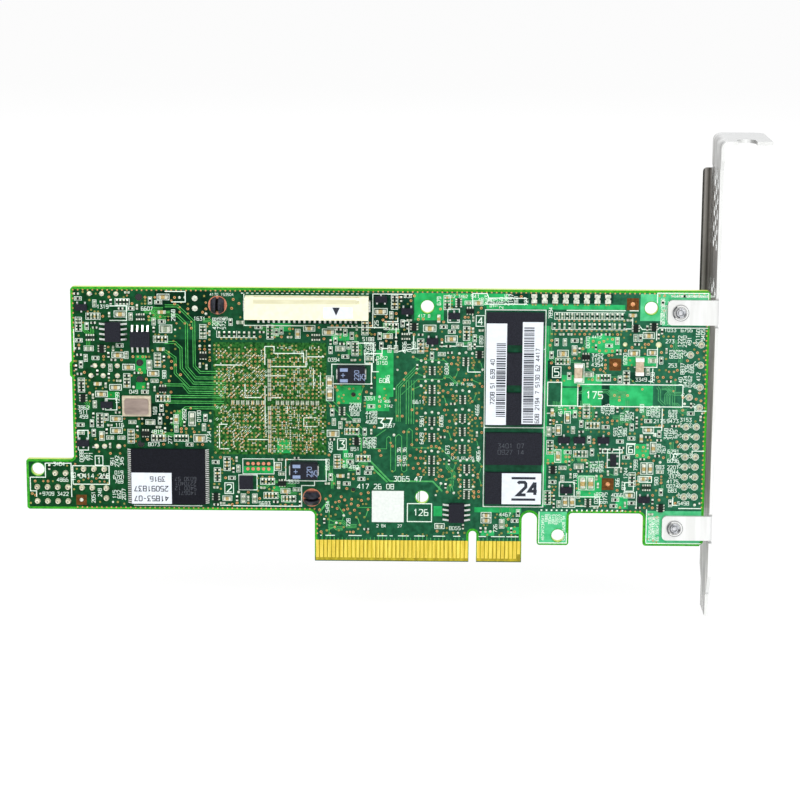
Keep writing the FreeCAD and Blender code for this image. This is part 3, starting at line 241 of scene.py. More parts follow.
def tone_ramp(tree: Tree, value: Socket, start: float, tones: Sequence[tuple[float, Colour]]
              ) -> Socket:
    """Gives colours that change along an axis.

    Args:
        tree: The tree.
        value: The place along the axis, in metres.
        start: The place that the tones count from, in millimetres.
        tones: The distance from the start, in millimetres, and the colour of each stop.
    Returns:
        The colour.
    """
    low, high = ((start + tones[i][0]) * MM for i in (0, -1))
    ramp = add_node(tree, "ShaderNodeValToRGB", {0: spread(tree, value, low, high)})
    stops = ramp.color_ramp.elements
    while len(stops) < len(tones):
        stops.new(0.5)
    for stop, (level, tone) in zip(stops, tones):
        stop.position = ((start + level) * MM - low) / (high - low)
        stop.color = linear(tone)
    return ramp.outputs["Color"]


@cache
def grain_group() -> Tree:
    """Builds the group that gives every finish its grain: a mask and a height for a bump."""
    tree, given, out = new_group(
        "fine_grain", ("Mask", "Height"), Place=("Vector", None), Scale=("Float", 2000.0),
        Low=("Float", 0.35), High=("Float", 0.65))
    coarse = add_node(tree, "ShaderNodeTexNoise",
                      {"Vector": given["Place"], "Scale": given["Scale"], "Detail": 3.0})
    fine = add_node(tree, "ShaderNodeTexNoise", {
        "Vector": given["Place"], "Scale": calc(tree, "MULTIPLY", given["Scale"], 5.0)})
    shares = [node.outputs["Fac"] for node in (coarse, fine)]
    feed(tree, out["Mask"], spread(tree, shares[0], given["Low"], given["High"]))
    feed(tree, out["Height"], calc(tree, "ADD", *shares))
    return tree


@cache
def drift_group() -> Tree:
    """Builds the group whose mask goes, unevenly, from 0 at the tail to 1 at the bracket."""
    tree, given, out = new_group(
        "length_drift", ("Mask",), Place=("Vector", None), Start=("Float", -0.1),
        End=("Float", 0.05), Unevenness=("Float", 0.3))
    patches = add_node(tree, "ShaderNodeTexNoise",
                       {"Vector": given["Place"], "Scale": 90.0, "Detail": 2.0})
    along = spread(tree, axes(tree, given["Place"])["X"], given["Start"], given["End"])
    swing = calc(tree, "MULTIPLY", calc(tree, "SUBTRACT", patches.outputs["Fac"], 0.5),
                 given["Unevenness"])
    feed(tree, out["Mask"], calc(tree, "ADD", swing, along, clamp=True))
    return tree


# Finishes


def linear(colour: Colour) -> tuple[float, float, float, float]:
    """Turns a display colour into the linear colour that a shader takes.

    Args:
        colour: Red, green and blue from 0 to 255.
    Returns:
        The same colour, linear, with a full alpha.
    """
    parts = [c / 255 for c in colour]
    return (*[p / 12.92 if p <= 0.04045 else ((p + 0.055) / 1.055) ** 2.4 for p in parts], 1.0)


def mixed(tree: Tree, by: Socket, first: object, second: object) -> Socket:
    """Mixes two colours.

    Args:
        tree: The tree.
        by: The share of the second colour.
        first: A linear colour or a colour output.
        second: A linear colour or a colour output.
    Returns:
        The mixed colour.
    """
    return add_node(tree, "ShaderNodeMix", {"Factor": by, 6: first, 7: second},
                    data_type="RGBA").outputs[2]


def facing(tree: Tree, place: Node, axis: str, way: float = 0.0) -> Socket:
    """Gives how squarely a surface faces along an axis of the frame.

    Args:
        tree: The material's tree.
        place: The node that gives coordinates.
        axis: The axis.
        way: 1 or -1 for that way alone, 0 for both.
    Returns:
        The share, from 0 to 1.
    """
    return calc(tree, "MULTIPLY" if way else "ABSOLUTE",
                axes(tree, place.outputs["Normal"])[axis], way, clamp=True)


@dataclass(frozen=True)
class Finish:
    """One surface finish: two colours that a fine grain mixes, a gloss and a bump."""

    name: str
    slot: str
    light: Colour
    dark: Colour
    rough: tuple[float, float] = (0.35, 0.5)
    metallic: float = 0.0
    specular: float = 0.5
    grain: float = 2500.0
    spread: tuple[float, float] = (0.35, 0.65)
    stretch: tuple[float, float, float] = (1.0, 1.0, 1.0)
    bump: float = 0.15

    def material(self) -> bpy.types.Material:
        """Gives the material of this finish, and builds it at its first use."""
        return bpy.data.materials.get(self.name) or self.build()

    def build(self) -> bpy.types.Material:
        """Builds the material.

        Returns:
            A material whose colour, gloss and bump come from the grain.
        """
        made = bpy.data.materials.new(self.name)
        made.use_nodes = True
        tree = made.node_tree
        place = tree.nodes.new("ShaderNodeTexCoord")
        turned = add_node(tree, "ShaderNodeMapping",
                          {"Vector": place.outputs["Object"], "Scale": self.stretch})
        low, high = self.spread
        grain = add_node(tree, "ShaderNodeGroup", {
            "Place": turned.outputs[0], "Scale": self.grain, "Low": low, "High": high,
        }, node_tree=grain_group())
        relief = add_node(tree, "ShaderNodeBump", {
            "Height": grain.outputs["Height"], "Strength": self.bump, "Distance": 0.02 * MM})
        shader = tree.nodes["Principled BSDF"].inputs
        for name, value in (
                ("Base Color", self.colour(tree, place, grain.outputs["Mask"])),
                ("Roughness", spread(tree, grain.outputs["Mask"], 0.0, 1.0, *self.rough)),
                ("Normal", relief.outputs[0]), ("Metallic", self.metallic),
                ("Specular IOR Level", self.specular)):
            feed(tree, shader[name], value)
        return made

    def colour(self, tree: Tree, place: Node, mask: Socket) -> Socket:
        """Mixes the two colours by the grain."""
        return mixed(tree, mask, linear(self.dark), linear(self.light))


@dataclass(frozen=True)
class MaskFinish(Finish):
    """Solder mask, whose green is deeper at the tail and greyer at the bracket."""

    far_light: Colour = (60, 130, 100)
    far_dark: Colour = (36, 92, 70)
    edge: Colour | None = None

    def colour(self, tree: Tree, place: Node, mask: Socket) -> Socket:
        """Mixes the green of the tail with that of the bracket end.

        Args:
            tree: The material's tree.
            place: The node that gives coordinates.
            mask: The grain.
        Returns:
            The colour.
        """
        near = super().colour(tree, place, mask)
        far = mixed(tree, mask, linear(self.far_dark), linear(self.far_light))
        drift = add_node(tree, "ShaderNodeGroup", {"Place": place.outputs["Object"]},
                         node_tree=drift_group())
        face = mixed(tree, drift.outputs["Mask"], near, far)
        if self.edge is None:
            return face
        return mixed(tree, facing(tree, place, "Y"), linear(self.edge), face)


@dataclass(frozen=True)
class SheetFinish(Finish):
    """Plated sheet: painted bright where it faces out, painted shade and reflections elsewhere.
    """

    # painted reflections and shade on the inner face, by height
    tones: tuple[tuple[float, Colour], ...] = ((0.0, (200, 200, 200)),)
    # painted dark reflections, laid out by the brushed grain on the inner face
    painted_reflection_streak: Colour = (64, 64, 60)
    # painted shade on faces that look up
    top: Colour = (174, 175, 175)
    # painted shade: faces that don't look along -Y are darker copies of the plain metal
    steel: tuple[Colour, Colour] = ((206, 207, 208), (178, 180, 182))
    # painted light on the bent lip across X: a dark edge, a bright reflection, darker bands
    lip: tuple[tuple[float, Colour], ...] = (
        (0.0, (24, 26, 24)), (0.25, (60, 60, 56)), (0.6, (152, 148, 144)), (1.1, (122, 118, 113)),
        (1.55, (62, 60, 56)), (1.9, (104, 100, 96)), (2.6, (84, 81, 77)))

    def colour(self, tree: Tree, place: Node, mask: Socket) -> Socket:
        """Paints light and shade by each face's turn, up the inner face and across the bent lip.

        Args:
            tree: The material's tree.
            place: The node that gives coordinates.
            mask: The grain.
        Returns:
            The colour.
        """
        inner, up, front = (facing(tree, place, axis, way)
                            for axis, way in (("X", -1.0), ("Z", 1.0), ("Y", -1.0)))
        at = axes(tree, place.outputs["Object"])
        edge = min(v.co.x for v in frame["nodes"]["mounting_bracket"].data.vertices
                   if v.co.y > LIP_FAR)
        lip = calc(tree, "MULTIPLY", spread(tree, at["Y"], *LIP_START), front)
        # faces with painted light lose their metal, so that their painted tones show as they are
        painted_light_faces = calc(tree, "MAXIMUM", calc(tree, "MAXIMUM", inner, up), lip)
        feed(tree, tree.nodes["Principled BSDF"].inputs["Metallic"],
             spread(tree, painted_light_faces, 0.0, 1.0, self.metallic, 0.0))
        # the inner face: painted reflections by height, with painted dark reflections along the
        # grain
        sides = mixed(tree, spread(tree, mask, 0.0, 1.0, 0.68, 0.0),
                      tone_ramp(tree, at["Z"], 0.0, self.tones), linear(self.painted_reflection_streak))
        # front faces keep the bright metal, the rest are painted darker, upward faces painted
        # grey
        plain = mixed(tree, front, mixed(tree, mask, *map(linear, self.steel)),
                      super().colour(tree, place, mask))
        plain = mixed(tree, up, plain, linear(self.top))
        # the bent lip takes its painted bands of shade and reflection across X
        return mixed(tree, lip, mixed(tree, inner, plain, sides),
                     tone_ramp(tree, at["X"], edge / MM, self.lip))


BOARD, GOLD, TIN, EPOXY, TAN, PAPER = (
    "board_laminate", "gold_plating", "tinned_lead", "black_epoxy", "tan_ceramic", "white_paper")
MASK = MaskFinish("solder_mask", BOARD, (8, 76, 36), (2, 46, 18), (0.3, 0.45), specular=0.08,
                  grain=700.0, spread=(0.3, 0.7), bump=0.05, far_light=(40, 104, 76),
                  far_dark=(22, 76, 52), edge=(172, 192, 84))
POUR = MaskFinish("mask_over_copper", BOARD, (22, 150, 62), (10, 122, 46), (0.3, 0.42),
                  specular=0.1, grain=500.0, bump=0.05, far_light=(48, 178, 106),
                  far_dark=(32, 150, 84))
TRACE = MaskFinish("mask_over_track", BOARD, (84, 182, 84), (44, 146, 54), (0.3, 0.4),
                   specular=0.12, grain=900.0, bump=0.05, far_light=(78, 160, 104),
                   far_dark=(56, 134, 84))
# deep green of mask with no copper under it, also laid as one strip of painted shadow
SHADE = MaskFinish("mask_deep_shade", BOARD, (2, 44, 20), (0, 30, 12), (0.3, 0.42),
                   specular=0.05, grain=900.0, bump=0.05, far_light=(20, 66, 50),
                   far_dark=(10, 48, 34))
PALE_POUR = Finish("thin_mask_over_copper", BOARD, (92, 192, 138), (60, 170, 110), (0.3, 0.42),
                   specular=0.1, grain=500.0, bump=0.05)
LATTICE = Finish("mask_over_ball_field", BOARD, (44, 104, 42), (4, 56, 16), (0.35, 0.45),
                 specular=0.08, grain=1400.0, spread=(0.4, 0.6), bump=0.05)
MARGIN = Finish("bare_margin", BOARD, (60, 164, 36), (28, 128, 20), (0.4, 0.55), grain=1200.0,
                specular=0.15, bump=0.1)
FINGER_BED = Finish("finger_bed", BOARD, (176, 160, 32), (138, 124, 16), (0.45, 0.6),
                    specular=0.2, grain=900.0, stretch=(1, 1, 0.2))
BROWN = Finish("bare_window", BOARD, (104, 64, 20), (74, 42, 10), (0.5, 0.6), specular=0.15,
               grain=1500.0)
VIA_TENTED = Finish("tented_ring", BOARD, (176, 160, 92), (112, 116, 52), (0.4, 0.5),
                    grain=500.0, specular=0.1)
VIA_RING = Finish("plated_ring", GOLD, (226, 172, 118), (176, 120, 70), (0.4, 0.5),
                  metallic=0.2, grain=1500.0, specular=0.3)
BALL_RING = Finish("ball_field_ring", GOLD, (190, 170, 108), (112, 110, 58), (0.4, 0.5),
                   grain=700.0, specular=0.15)
COPPER = Finish("bare_copper", GOLD, (224, 146, 116), (196, 118, 88), metallic=0.2,
                grain=3000.0)
SOLDER = Finish("bright_solder", TIN, (228, 230, 216), (176, 184, 168), (0.25, 0.45),
                metallic=0.4, grain=1600.0, bump=0.2)
CREAM = Finish("old_flux_solder", TIN, (236, 232, 208), (196, 190, 160), (0.3, 0.5),
               metallic=0.3, grain=1600.0, bump=0.25)
JOINT_END = Finish("post_end", TIN, (150, 152, 142), (96, 100, 92), metallic=0.5, grain=2600.0)
CAP_METAL = Finish("fired_cap", TIN, (250, 248, 244), (220, 216, 208), (0.3, 0.45),
                   metallic=0.3, grain=1200.0)
CHIP_BLACK = Finish("resistor_glaze", EPOXY, (22, 34, 28), (8, 16, 12), (0.3, 0.45),
                    specular=0.15, grain=4000.0)
CHIP_DARK = Finish("array_glaze", EPOXY, (32, 60, 44), (12, 34, 22), (0.3, 0.45),
                   specular=0.15, grain=2000.0)
PACKAGE_INK = Finish("package_mark", EPOXY, (84, 88, 94), (56, 60, 68), (0.6, 0.7),
                     specular=0.15, grain=6000.0)
TANTALUM_INK = Finish("polarity_mark", EPOXY, (146, 162, 194), (112, 130, 164), (0.5, 0.6),
                      specular=0.2, grain=5000.0)
CHIP_TAN = Finish("capacitor_body", TAN, (186, 164, 106), (146, 124, 76), (0.4, 0.55),
                  specular=0.3, grain=3000.0)
CHIP_GREY = Finish("capacitor_grey", TAN, (150, 164, 140), (96, 116, 92), (0.4, 0.55),
                   specular=0.3, grain=3000.0)
SILK = Finish("legend_white", PAPER, (232, 242, 232), (200, 222, 206), (0.55, 0.7),
              specular=0.15, grain=6000.0, bump=0.2)
PRINT_BLACK = Finish("label_black", PAPER, (58, 62, 70), (30, 34, 44), (0.6, 0.7),
                     specular=0.15, grain=5000.0)
STAMP_WHITE = Finish("stamp_square", PAPER, (217, 222, 218), (207, 213, 209), (0.55, 0.7),
                     specular=0.15, grain=1500.0)
# painted shade: dark steel for the rings and arcs drawn round the bracket screws
PAINTED_THREAD_SHADE = Finish("thread_shade", "screw_steel", (126, 128, 130), (44, 46, 50), (0.3, 0.45),
                     metallic=0.6, grain=900.0)
# painted shade: the connector's groove is real, its darker tone is painted on a raised strip
PAINTED_GROOVE_SHADE = Finish("moulded_groove", "ivory_plastic", (216, 214, 184), (200, 196, 164), (0.5, 0.6),
                specular=0.2, grain=900.0, stretch=(0.2, 1, 1))

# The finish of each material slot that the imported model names.
SLOT_FINISHES: dict[str, Finish] = {finish.slot: finish for finish in (
    MASK,
    Finish("hard_gold", GOLD, (250, 226, 98), (218, 190, 60), (0.28, 0.4), metallic=0.55,
           grain=900.0, stretch=(3, 1, 0.15)),
    SheetFinish("nickel_plate", "plated_steel", (244, 245, 244), (234, 235, 233), (0.3, 0.42),
                metallic=0.8, specular=0.05, grain=700.0, spread=(0.4, 0.62),
                # the tones are painted reflections and shade on the inner face, by height
                stretch=(1, 1, 0.1), bump=0.04, tones=(
                    (-14, (206, 206, 206)), (2, (190, 190, 188)), (14, (176, 174, 168)),
                    (64, (160, 158, 152)), (70, (104, 100, 96)), (92, (120, 114, 110)),
                    (96, (186, 186, 185)), (105, (202, 202, 201)))),
    Finish("zinc_screw", "screw_steel", (232, 233, 236), (170, 174, 180), (0.18, 0.3),
           metallic=0.8, grain=1200.0),
    Finish("substrate_green", "package_substrate", (46, 104, 60), (30, 80, 44), (0.35, 0.45),
           specular=0.3, grain=900.0),
    Finish("lid_metal", "lid_nickel", (196, 198, 196), (164, 166, 164), (0.3, 0.42),
           metallic=0.9, grain=800.0, stretch=(0.1, 1, 1)),
    Finish("gap_pad", "thermal_pad", (168, 172, 186), (140, 144, 158), (0.6, 0.75),
           grain=1800.0),
    Finish("black_anodise", "black_aluminium", (48, 49, 54), (30, 31, 35), (0.32, 0.46),
           metallic=0.45, specular=0.35, grain=500.0, stretch=(1, 1, 0.05)),
    Finish("dark_nylon", "black_nylon", (44, 44, 56), (24, 24, 32), specular=0.35,
           grain=1500.0),
    Finish("spring_wire", "spring_steel", (220, 220, 222), (170, 170, 174), (0.2, 0.3),
           metallic=1.0),
    Finish("tin_plate", "tin_shield", (204, 207, 205), (184, 188, 186), (0.25, 0.4),
           metallic=0.92, grain=300.0, bump=0.05),
    Finish("moulded_black", "black_plastic", (42, 42, 44), (26, 26, 28), (0.4, 0.55),
           specular=0.35, grain=2200.0, bump=0.25),
    Finish("moulded_ivory", "ivory_plastic", (232, 230, 201), (225, 221, 190), (0.42, 0.55),
           specular=0.35, grain=900.0),
    Finish("tinned_copper", TIN, (232, 234, 230), (186, 190, 186), (0.25, 0.4), metallic=0.8,
           grain=2600.0),
    Finish("package_epoxy", EPOXY, (34, 36, 45), (22, 23, 31), (0.4, 0.55), specular=0.15,
           grain=3500.0, bump=0.3),
    Finish("fired_ceramic", TAN, (196, 178, 152), (166, 146, 122), grain=1800.0),
    Finish("pressed_ferrite", "grey_ferrite", (96, 98, 98), (66, 68, 68), (0.5, 0.65),
           specular=0.35, grain=1400.0, bump=0.35),
    Finish("label_paper", PAPER, (217, 222, 229), (209, 215, 223), (0.55, 0.65),
           specular=0.25, grain=1200.0, bump=0.08))}

# The nodes whose finish differs from that of their slot.
NODE_FINISHES: dict[str, Finish] = {
    "flash_package": Finish("flash_epoxy", EPOXY, (24, 26, 34), (14, 15, 21), (0.4, 0.55),
                            specular=0.1, grain=3500.0, bump=0.3),
    "clock_base": Finish("clock_frame", TAN, (206, 196, 172), (184, 172, 148), (0.4, 0.55),
                         grain=1400.0),
    "clock_lid": Finish("clock_cover", "lid_nickel", (160, 144, 134), (124, 110, 102),
                        metallic=0.4, grain=600.0, stretch=(0.3, 1, 1)),
}


def dress_model() -> None:
    """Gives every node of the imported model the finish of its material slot."""
    slots = {row["node"]: row["material_slot"] for row in frame["record"]["subparts"]}
    for name, node in frame["nodes"].items():
        finish = NODE_FINISHES.get(name, SLOT_FINISHES[slots[name]])
        node.data.materials.clear()
        node.data.materials.append(finish.material())
        LOG.info("dressed %s in %s", name, finish.name)


# Pieces


def put_object(name: str, data: bpy.types.ID) -> Object:
    """Adds an object to the scene.

    Args:
        name: The object's name.
        data: Its mesh, curve, camera or lamp.
    Returns:
        The object.
    """
    made = bpy.data.objects.new(name, data)
    bpy.context.scene.collection.objects.link(made)
    return made


def add_piece(name: str, mesh: Mesh) -> Object:
    """Adds one finished piece that rides on the card.

    Args:
        name: The piece's name.
        mesh: Its mesh, in place and in metres.
    Returns:
        The piece.
    """
    mesh.name = name
    piece = put_object(name, mesh)
    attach(piece, "root")
    LOG.info("piece %s has %d faces", name, len(mesh.polygons))
    return piece


def repeat_tree(name: str, **inputs: tuple[str, object]
                ) -> tuple[Tree, dict[str, Socket], dict[str, Socket]]:
    """Starts a geometry tree that takes a shape and the finish of what it makes.

    Args:
        name: The tree's name.
        inputs: The socket type and the default value of each further input.
    Returns:
        The tree, the sockets of its inputs and those of its output.
    """
    return new_group(name, ("Geometry",), "GeometryNodeTree", Geometry=("Geometry", None),
                     Finish=("Material", None), **inputs)


def end_tree(tree: Tree, given: dict[str, Socket], out: dict[str, Socket], made: Socket) -> Tree:
    """Ends a geometry tree with real geometry in its finish.

    Args:
        tree: The tree.
        given: The sockets of its inputs.
        out: The sockets of its output.
        made: The geometry.
    Returns:
        The tree.
    """
    real = add_node(tree, "GeometryNodeRealizeInstances", {0: made})
    finish = add_node(tree, "GeometryNodeSetMaterial",
                      {0: real.outputs[0], "Material": given["Finish"]})
    feed(tree, out["Geometry"], finish.outputs[0])
    return tree


@cache
def stands_tree() -> Tree:
    """Builds the tree that stands a shape on every point, turned and sized by the point.

    Returns:
        The tree.
    """
    tree, given, out = repeat_tree("shape_on_points", Shape=("Object", None),
                                   Crookedness=("Float", 0.02), Seed=("Int", 7))
    turn, size = (add_node(tree, "GeometryNodeInputNamedAttribute", {"Name": name},
                           data_type=kind).outputs[0]
                  for name, kind in (("turn", "FLOAT"), ("size", "FLOAT_VECTOR")))
    most = given["Crookedness"]
    stray = add_node(tree, "FunctionNodeRandomValue",
                     {2: calc(tree, "MULTIPLY", most, -1.0), 3: most, "Seed": given["Seed"]})
    upright = add_node(tree, "ShaderNodeCombineXYZ",
                       {"Z": calc(tree, "ADD", turn, stray.outputs[1])})
    rotation = add_node(tree, "FunctionNodeEulerToRotation", {0: upright.outputs[0]})
    shape = add_node(tree, "GeometryNodeObjectInfo", {"Object": given["Shape"]})
    stand = add_node(tree, "GeometryNodeInstanceOnPoints", {
        "Points": given["Geometry"], "Instance": shape.outputs["Geometry"],
        "Rotation": rotation.outputs[0], "Scale": size})
    return end_tree(tree, given, out, stand.outputs[0])


@cache
def tracks_tree() -> Tree:
    """Builds the tree that lays a flat bar along every curve.

    Returns:
        The tree.
    """
    tree, given, out = repeat_tree("bars_on_curves", Width=("Float", 0.15),
                                   Height=("Float", 0.03))
    flat = add_node(tree, "GeometryNodeSetCurveNormal", {0: given["Geometry"]}, mode="Z_UP")
    profile = add_node(tree, "GeometryNodeCurvePrimitiveQuadrilateral",
                       {name: given[name] for name in ("Width", "Height")})
    sweep = add_node(tree, "GeometryNodeCurveToMesh", {
        "Curve": flat.outputs[0], "Profile Curve": profile.outputs[0], "Fill Caps": True})
    return end_tree(tree, given, out, sweep.outputs[0])


def settle(name: str, data: bpy.types.ID, tree: Tree, values: dict[str, object], place: Matrix
           ) -> Mesh:
    """Runs a tree on a mesh or curve and keeps its result as a plain mesh.

    Args:
        name: The name of the passing object.
        data: The points or curves.
        tree: The tree.
        values: The tree's inputs by name.
        place: The matrix that puts the result in the frame.
    Returns:
        The mesh, in metres and in place.
    """
    source = put_object(name, data)
    modifier = source.modifiers.new("Repeat", "NODES")
    modifier.node_group = tree
    for item in tree.interface.items_tree:
        if item.in_out == "INPUT" and item.name in values:
            modifier[item.identifier] = values[item.name]
    bpy.context.view_layer.update()
    seen = source.evaluated_get(bpy.context.evaluated_depsgraph_get())
    mesh = bpy.data.meshes.new_from_object(seen)
    source.modifiers.remove(modifier)
    bpy.data.objects.remove(source)
    mesh.transform(place)
    for attribute in ("turn", "size"):
        if attribute in mesh.attributes:
            mesh.attributes.remove(mesh.attributes[attribute])
    return mesh


@dataclass
class Stand:
    """Copies of one small shape, each standing on its own point of a board face."""

    name: str
    side: Side
    shape: Mesh
    finish: Finish
    spots: list[tuple[float, ...]] = field(default_factory=list)

    def put(self, x: float, z: float, size: Sequence[float], turn: float = 0.0) -> None:
        """Notes one copy.

        Args:
            x: Place along the card.
            z: Height on the card.
            size: Its length, width and height.
            turn: Its turn in whole turns.
        """
        self.spots.append((self.side.across(x), z, turn * TURN, *size))

    def build(self) -> None:
        """Builds every copy as one mesh, where any was noted."""
        if not self.spots:
            return
        points = bpy.data.meshes.new(self.name)
        points.from_pydata([(x, z, 0.0) for x, z, *_ in self.spots], [], [])
        points.attributes.new("turn", "FLOAT", "POINT").data.foreach_set(
            "value", [spot[2] for spot in self.spots])
        points.attributes.new("size", "FLOAT_VECTOR", "POINT").data.foreach_set(
            "vector", [v for spot in self.spots for v in spot[3:]])
        shape = bpy.data.objects.new(self.name + "_shape", self.shape)
        mesh = settle(self.name + "_points", points, stands_tree(),
                      {"Shape": shape, "Finish": self.finish.material(),
                       "Crookedness": 0.02, "Seed": 7}, self.side.matrix())
        bpy.data.objects.remove(shape)
        add_piece(self.name, mesh)


def offset_line(points: Sequence[Point], off: float) -> list[Point]:
    """Moves an open line sideways and mitres its corners.

    Args:
        points: The line.
        off: How far to its left.
    Returns:
        The moved line.
    """
    moved = []
    for i, (x, z) in enumerate(points):
        ahead = points[min(i + 1, len(points) - 1)]
        behind = points[max(i - 1, 0)]
        first = Vector((x - behind[0], z - behind[1]))
        second = Vector((ahead[0] - x, ahead[1] - z))
        first = first.normalized() if first.length > NO_LENGTH else second.normalized()
        second = second.normalized() if second.length > NO_LENGTH else first
        side = Vector((-first.y - second.y, first.x + second.x)).normalized()
        reach = off / max(side.dot(Vector((-first.y, first.x))), 0.4)
        moved.append((x + side.x * reach, z + side.y * reach))
    return moved


@dataclass
class Tracks:
    """Flat bars of one width that follow lines on a board face."""

    name: str
    side: Side
    finish: Finish
    width: float
    height: float
    lines: list[list[Point]] = field(default_factory=list)

    def run(self, *points: Point) -> None:
        """Notes one line through points given along the card and up it."""
        self.lines.append([(self.side.across(x), z) for x, z in points])

    def bundle(self, points: Sequence[Point], count: int, pitch: float) -> None:
        """Notes lines side by side that keep their distance round every corner.

        Args:
            points: The middle line.
            count: How many lines.
            pitch: The distance between neighbours.
        """
        for index in range(count):
            self.run(*offset_line(points, (index - (count - 1) / 2) * pitch))

    def build(self) -> None:
        """Builds every line as one mesh, where any was noted."""
        if not self.lines:
            return
        curve = bpy.data.curves.new(self.name, "CURVE")
        curve.dimensions = "3D"
        for index, line in enumerate(self.lines):
            spline = curve.splines.new("POLY")
            spline.points.add(len(line) - 1)
            for point, (u, v) in zip(spline.points, line):
                point.co = (u, v, self.height / 2 + index % TRACK_ROUND * TRACK_RISE, 1)
        mesh = settle(self.name + "_lines", curve, tracks_tree(),
                      {"Width": self.width, "Height": self.height,
                       "Finish": self.finish.material()}, self.side.matrix())
        add_piece(self.name, mesh)


def circle(x: float, z: float, radius: float, turns: Iterable[float]) -> list[Point]:
    """Gives the points of a circle at some angles.

    Args:
        x: Its middle along the card.
        z: Its middle's height.
        radius: Its radius.
        turns: The angles.
    Returns:
        The points.
    """
    return [(x + radius * math.cos(t), z + radius * math.sin(t)) for t in turns]


def even_turns(count: int) -> list[float]:
    """Gives as many angles, evenly round a circle."""
    return [TURN * i / count for i in range(count)]


def doubled_area(loop: Sequence[Point]) -> float:
    """Gives twice the area inside a loop, negative where it runs clockwise."""
    return sum(a[0] * b[1] - b[0] * a[1] for a, b in zip(loop, [*loop[1:], loop[0]]))


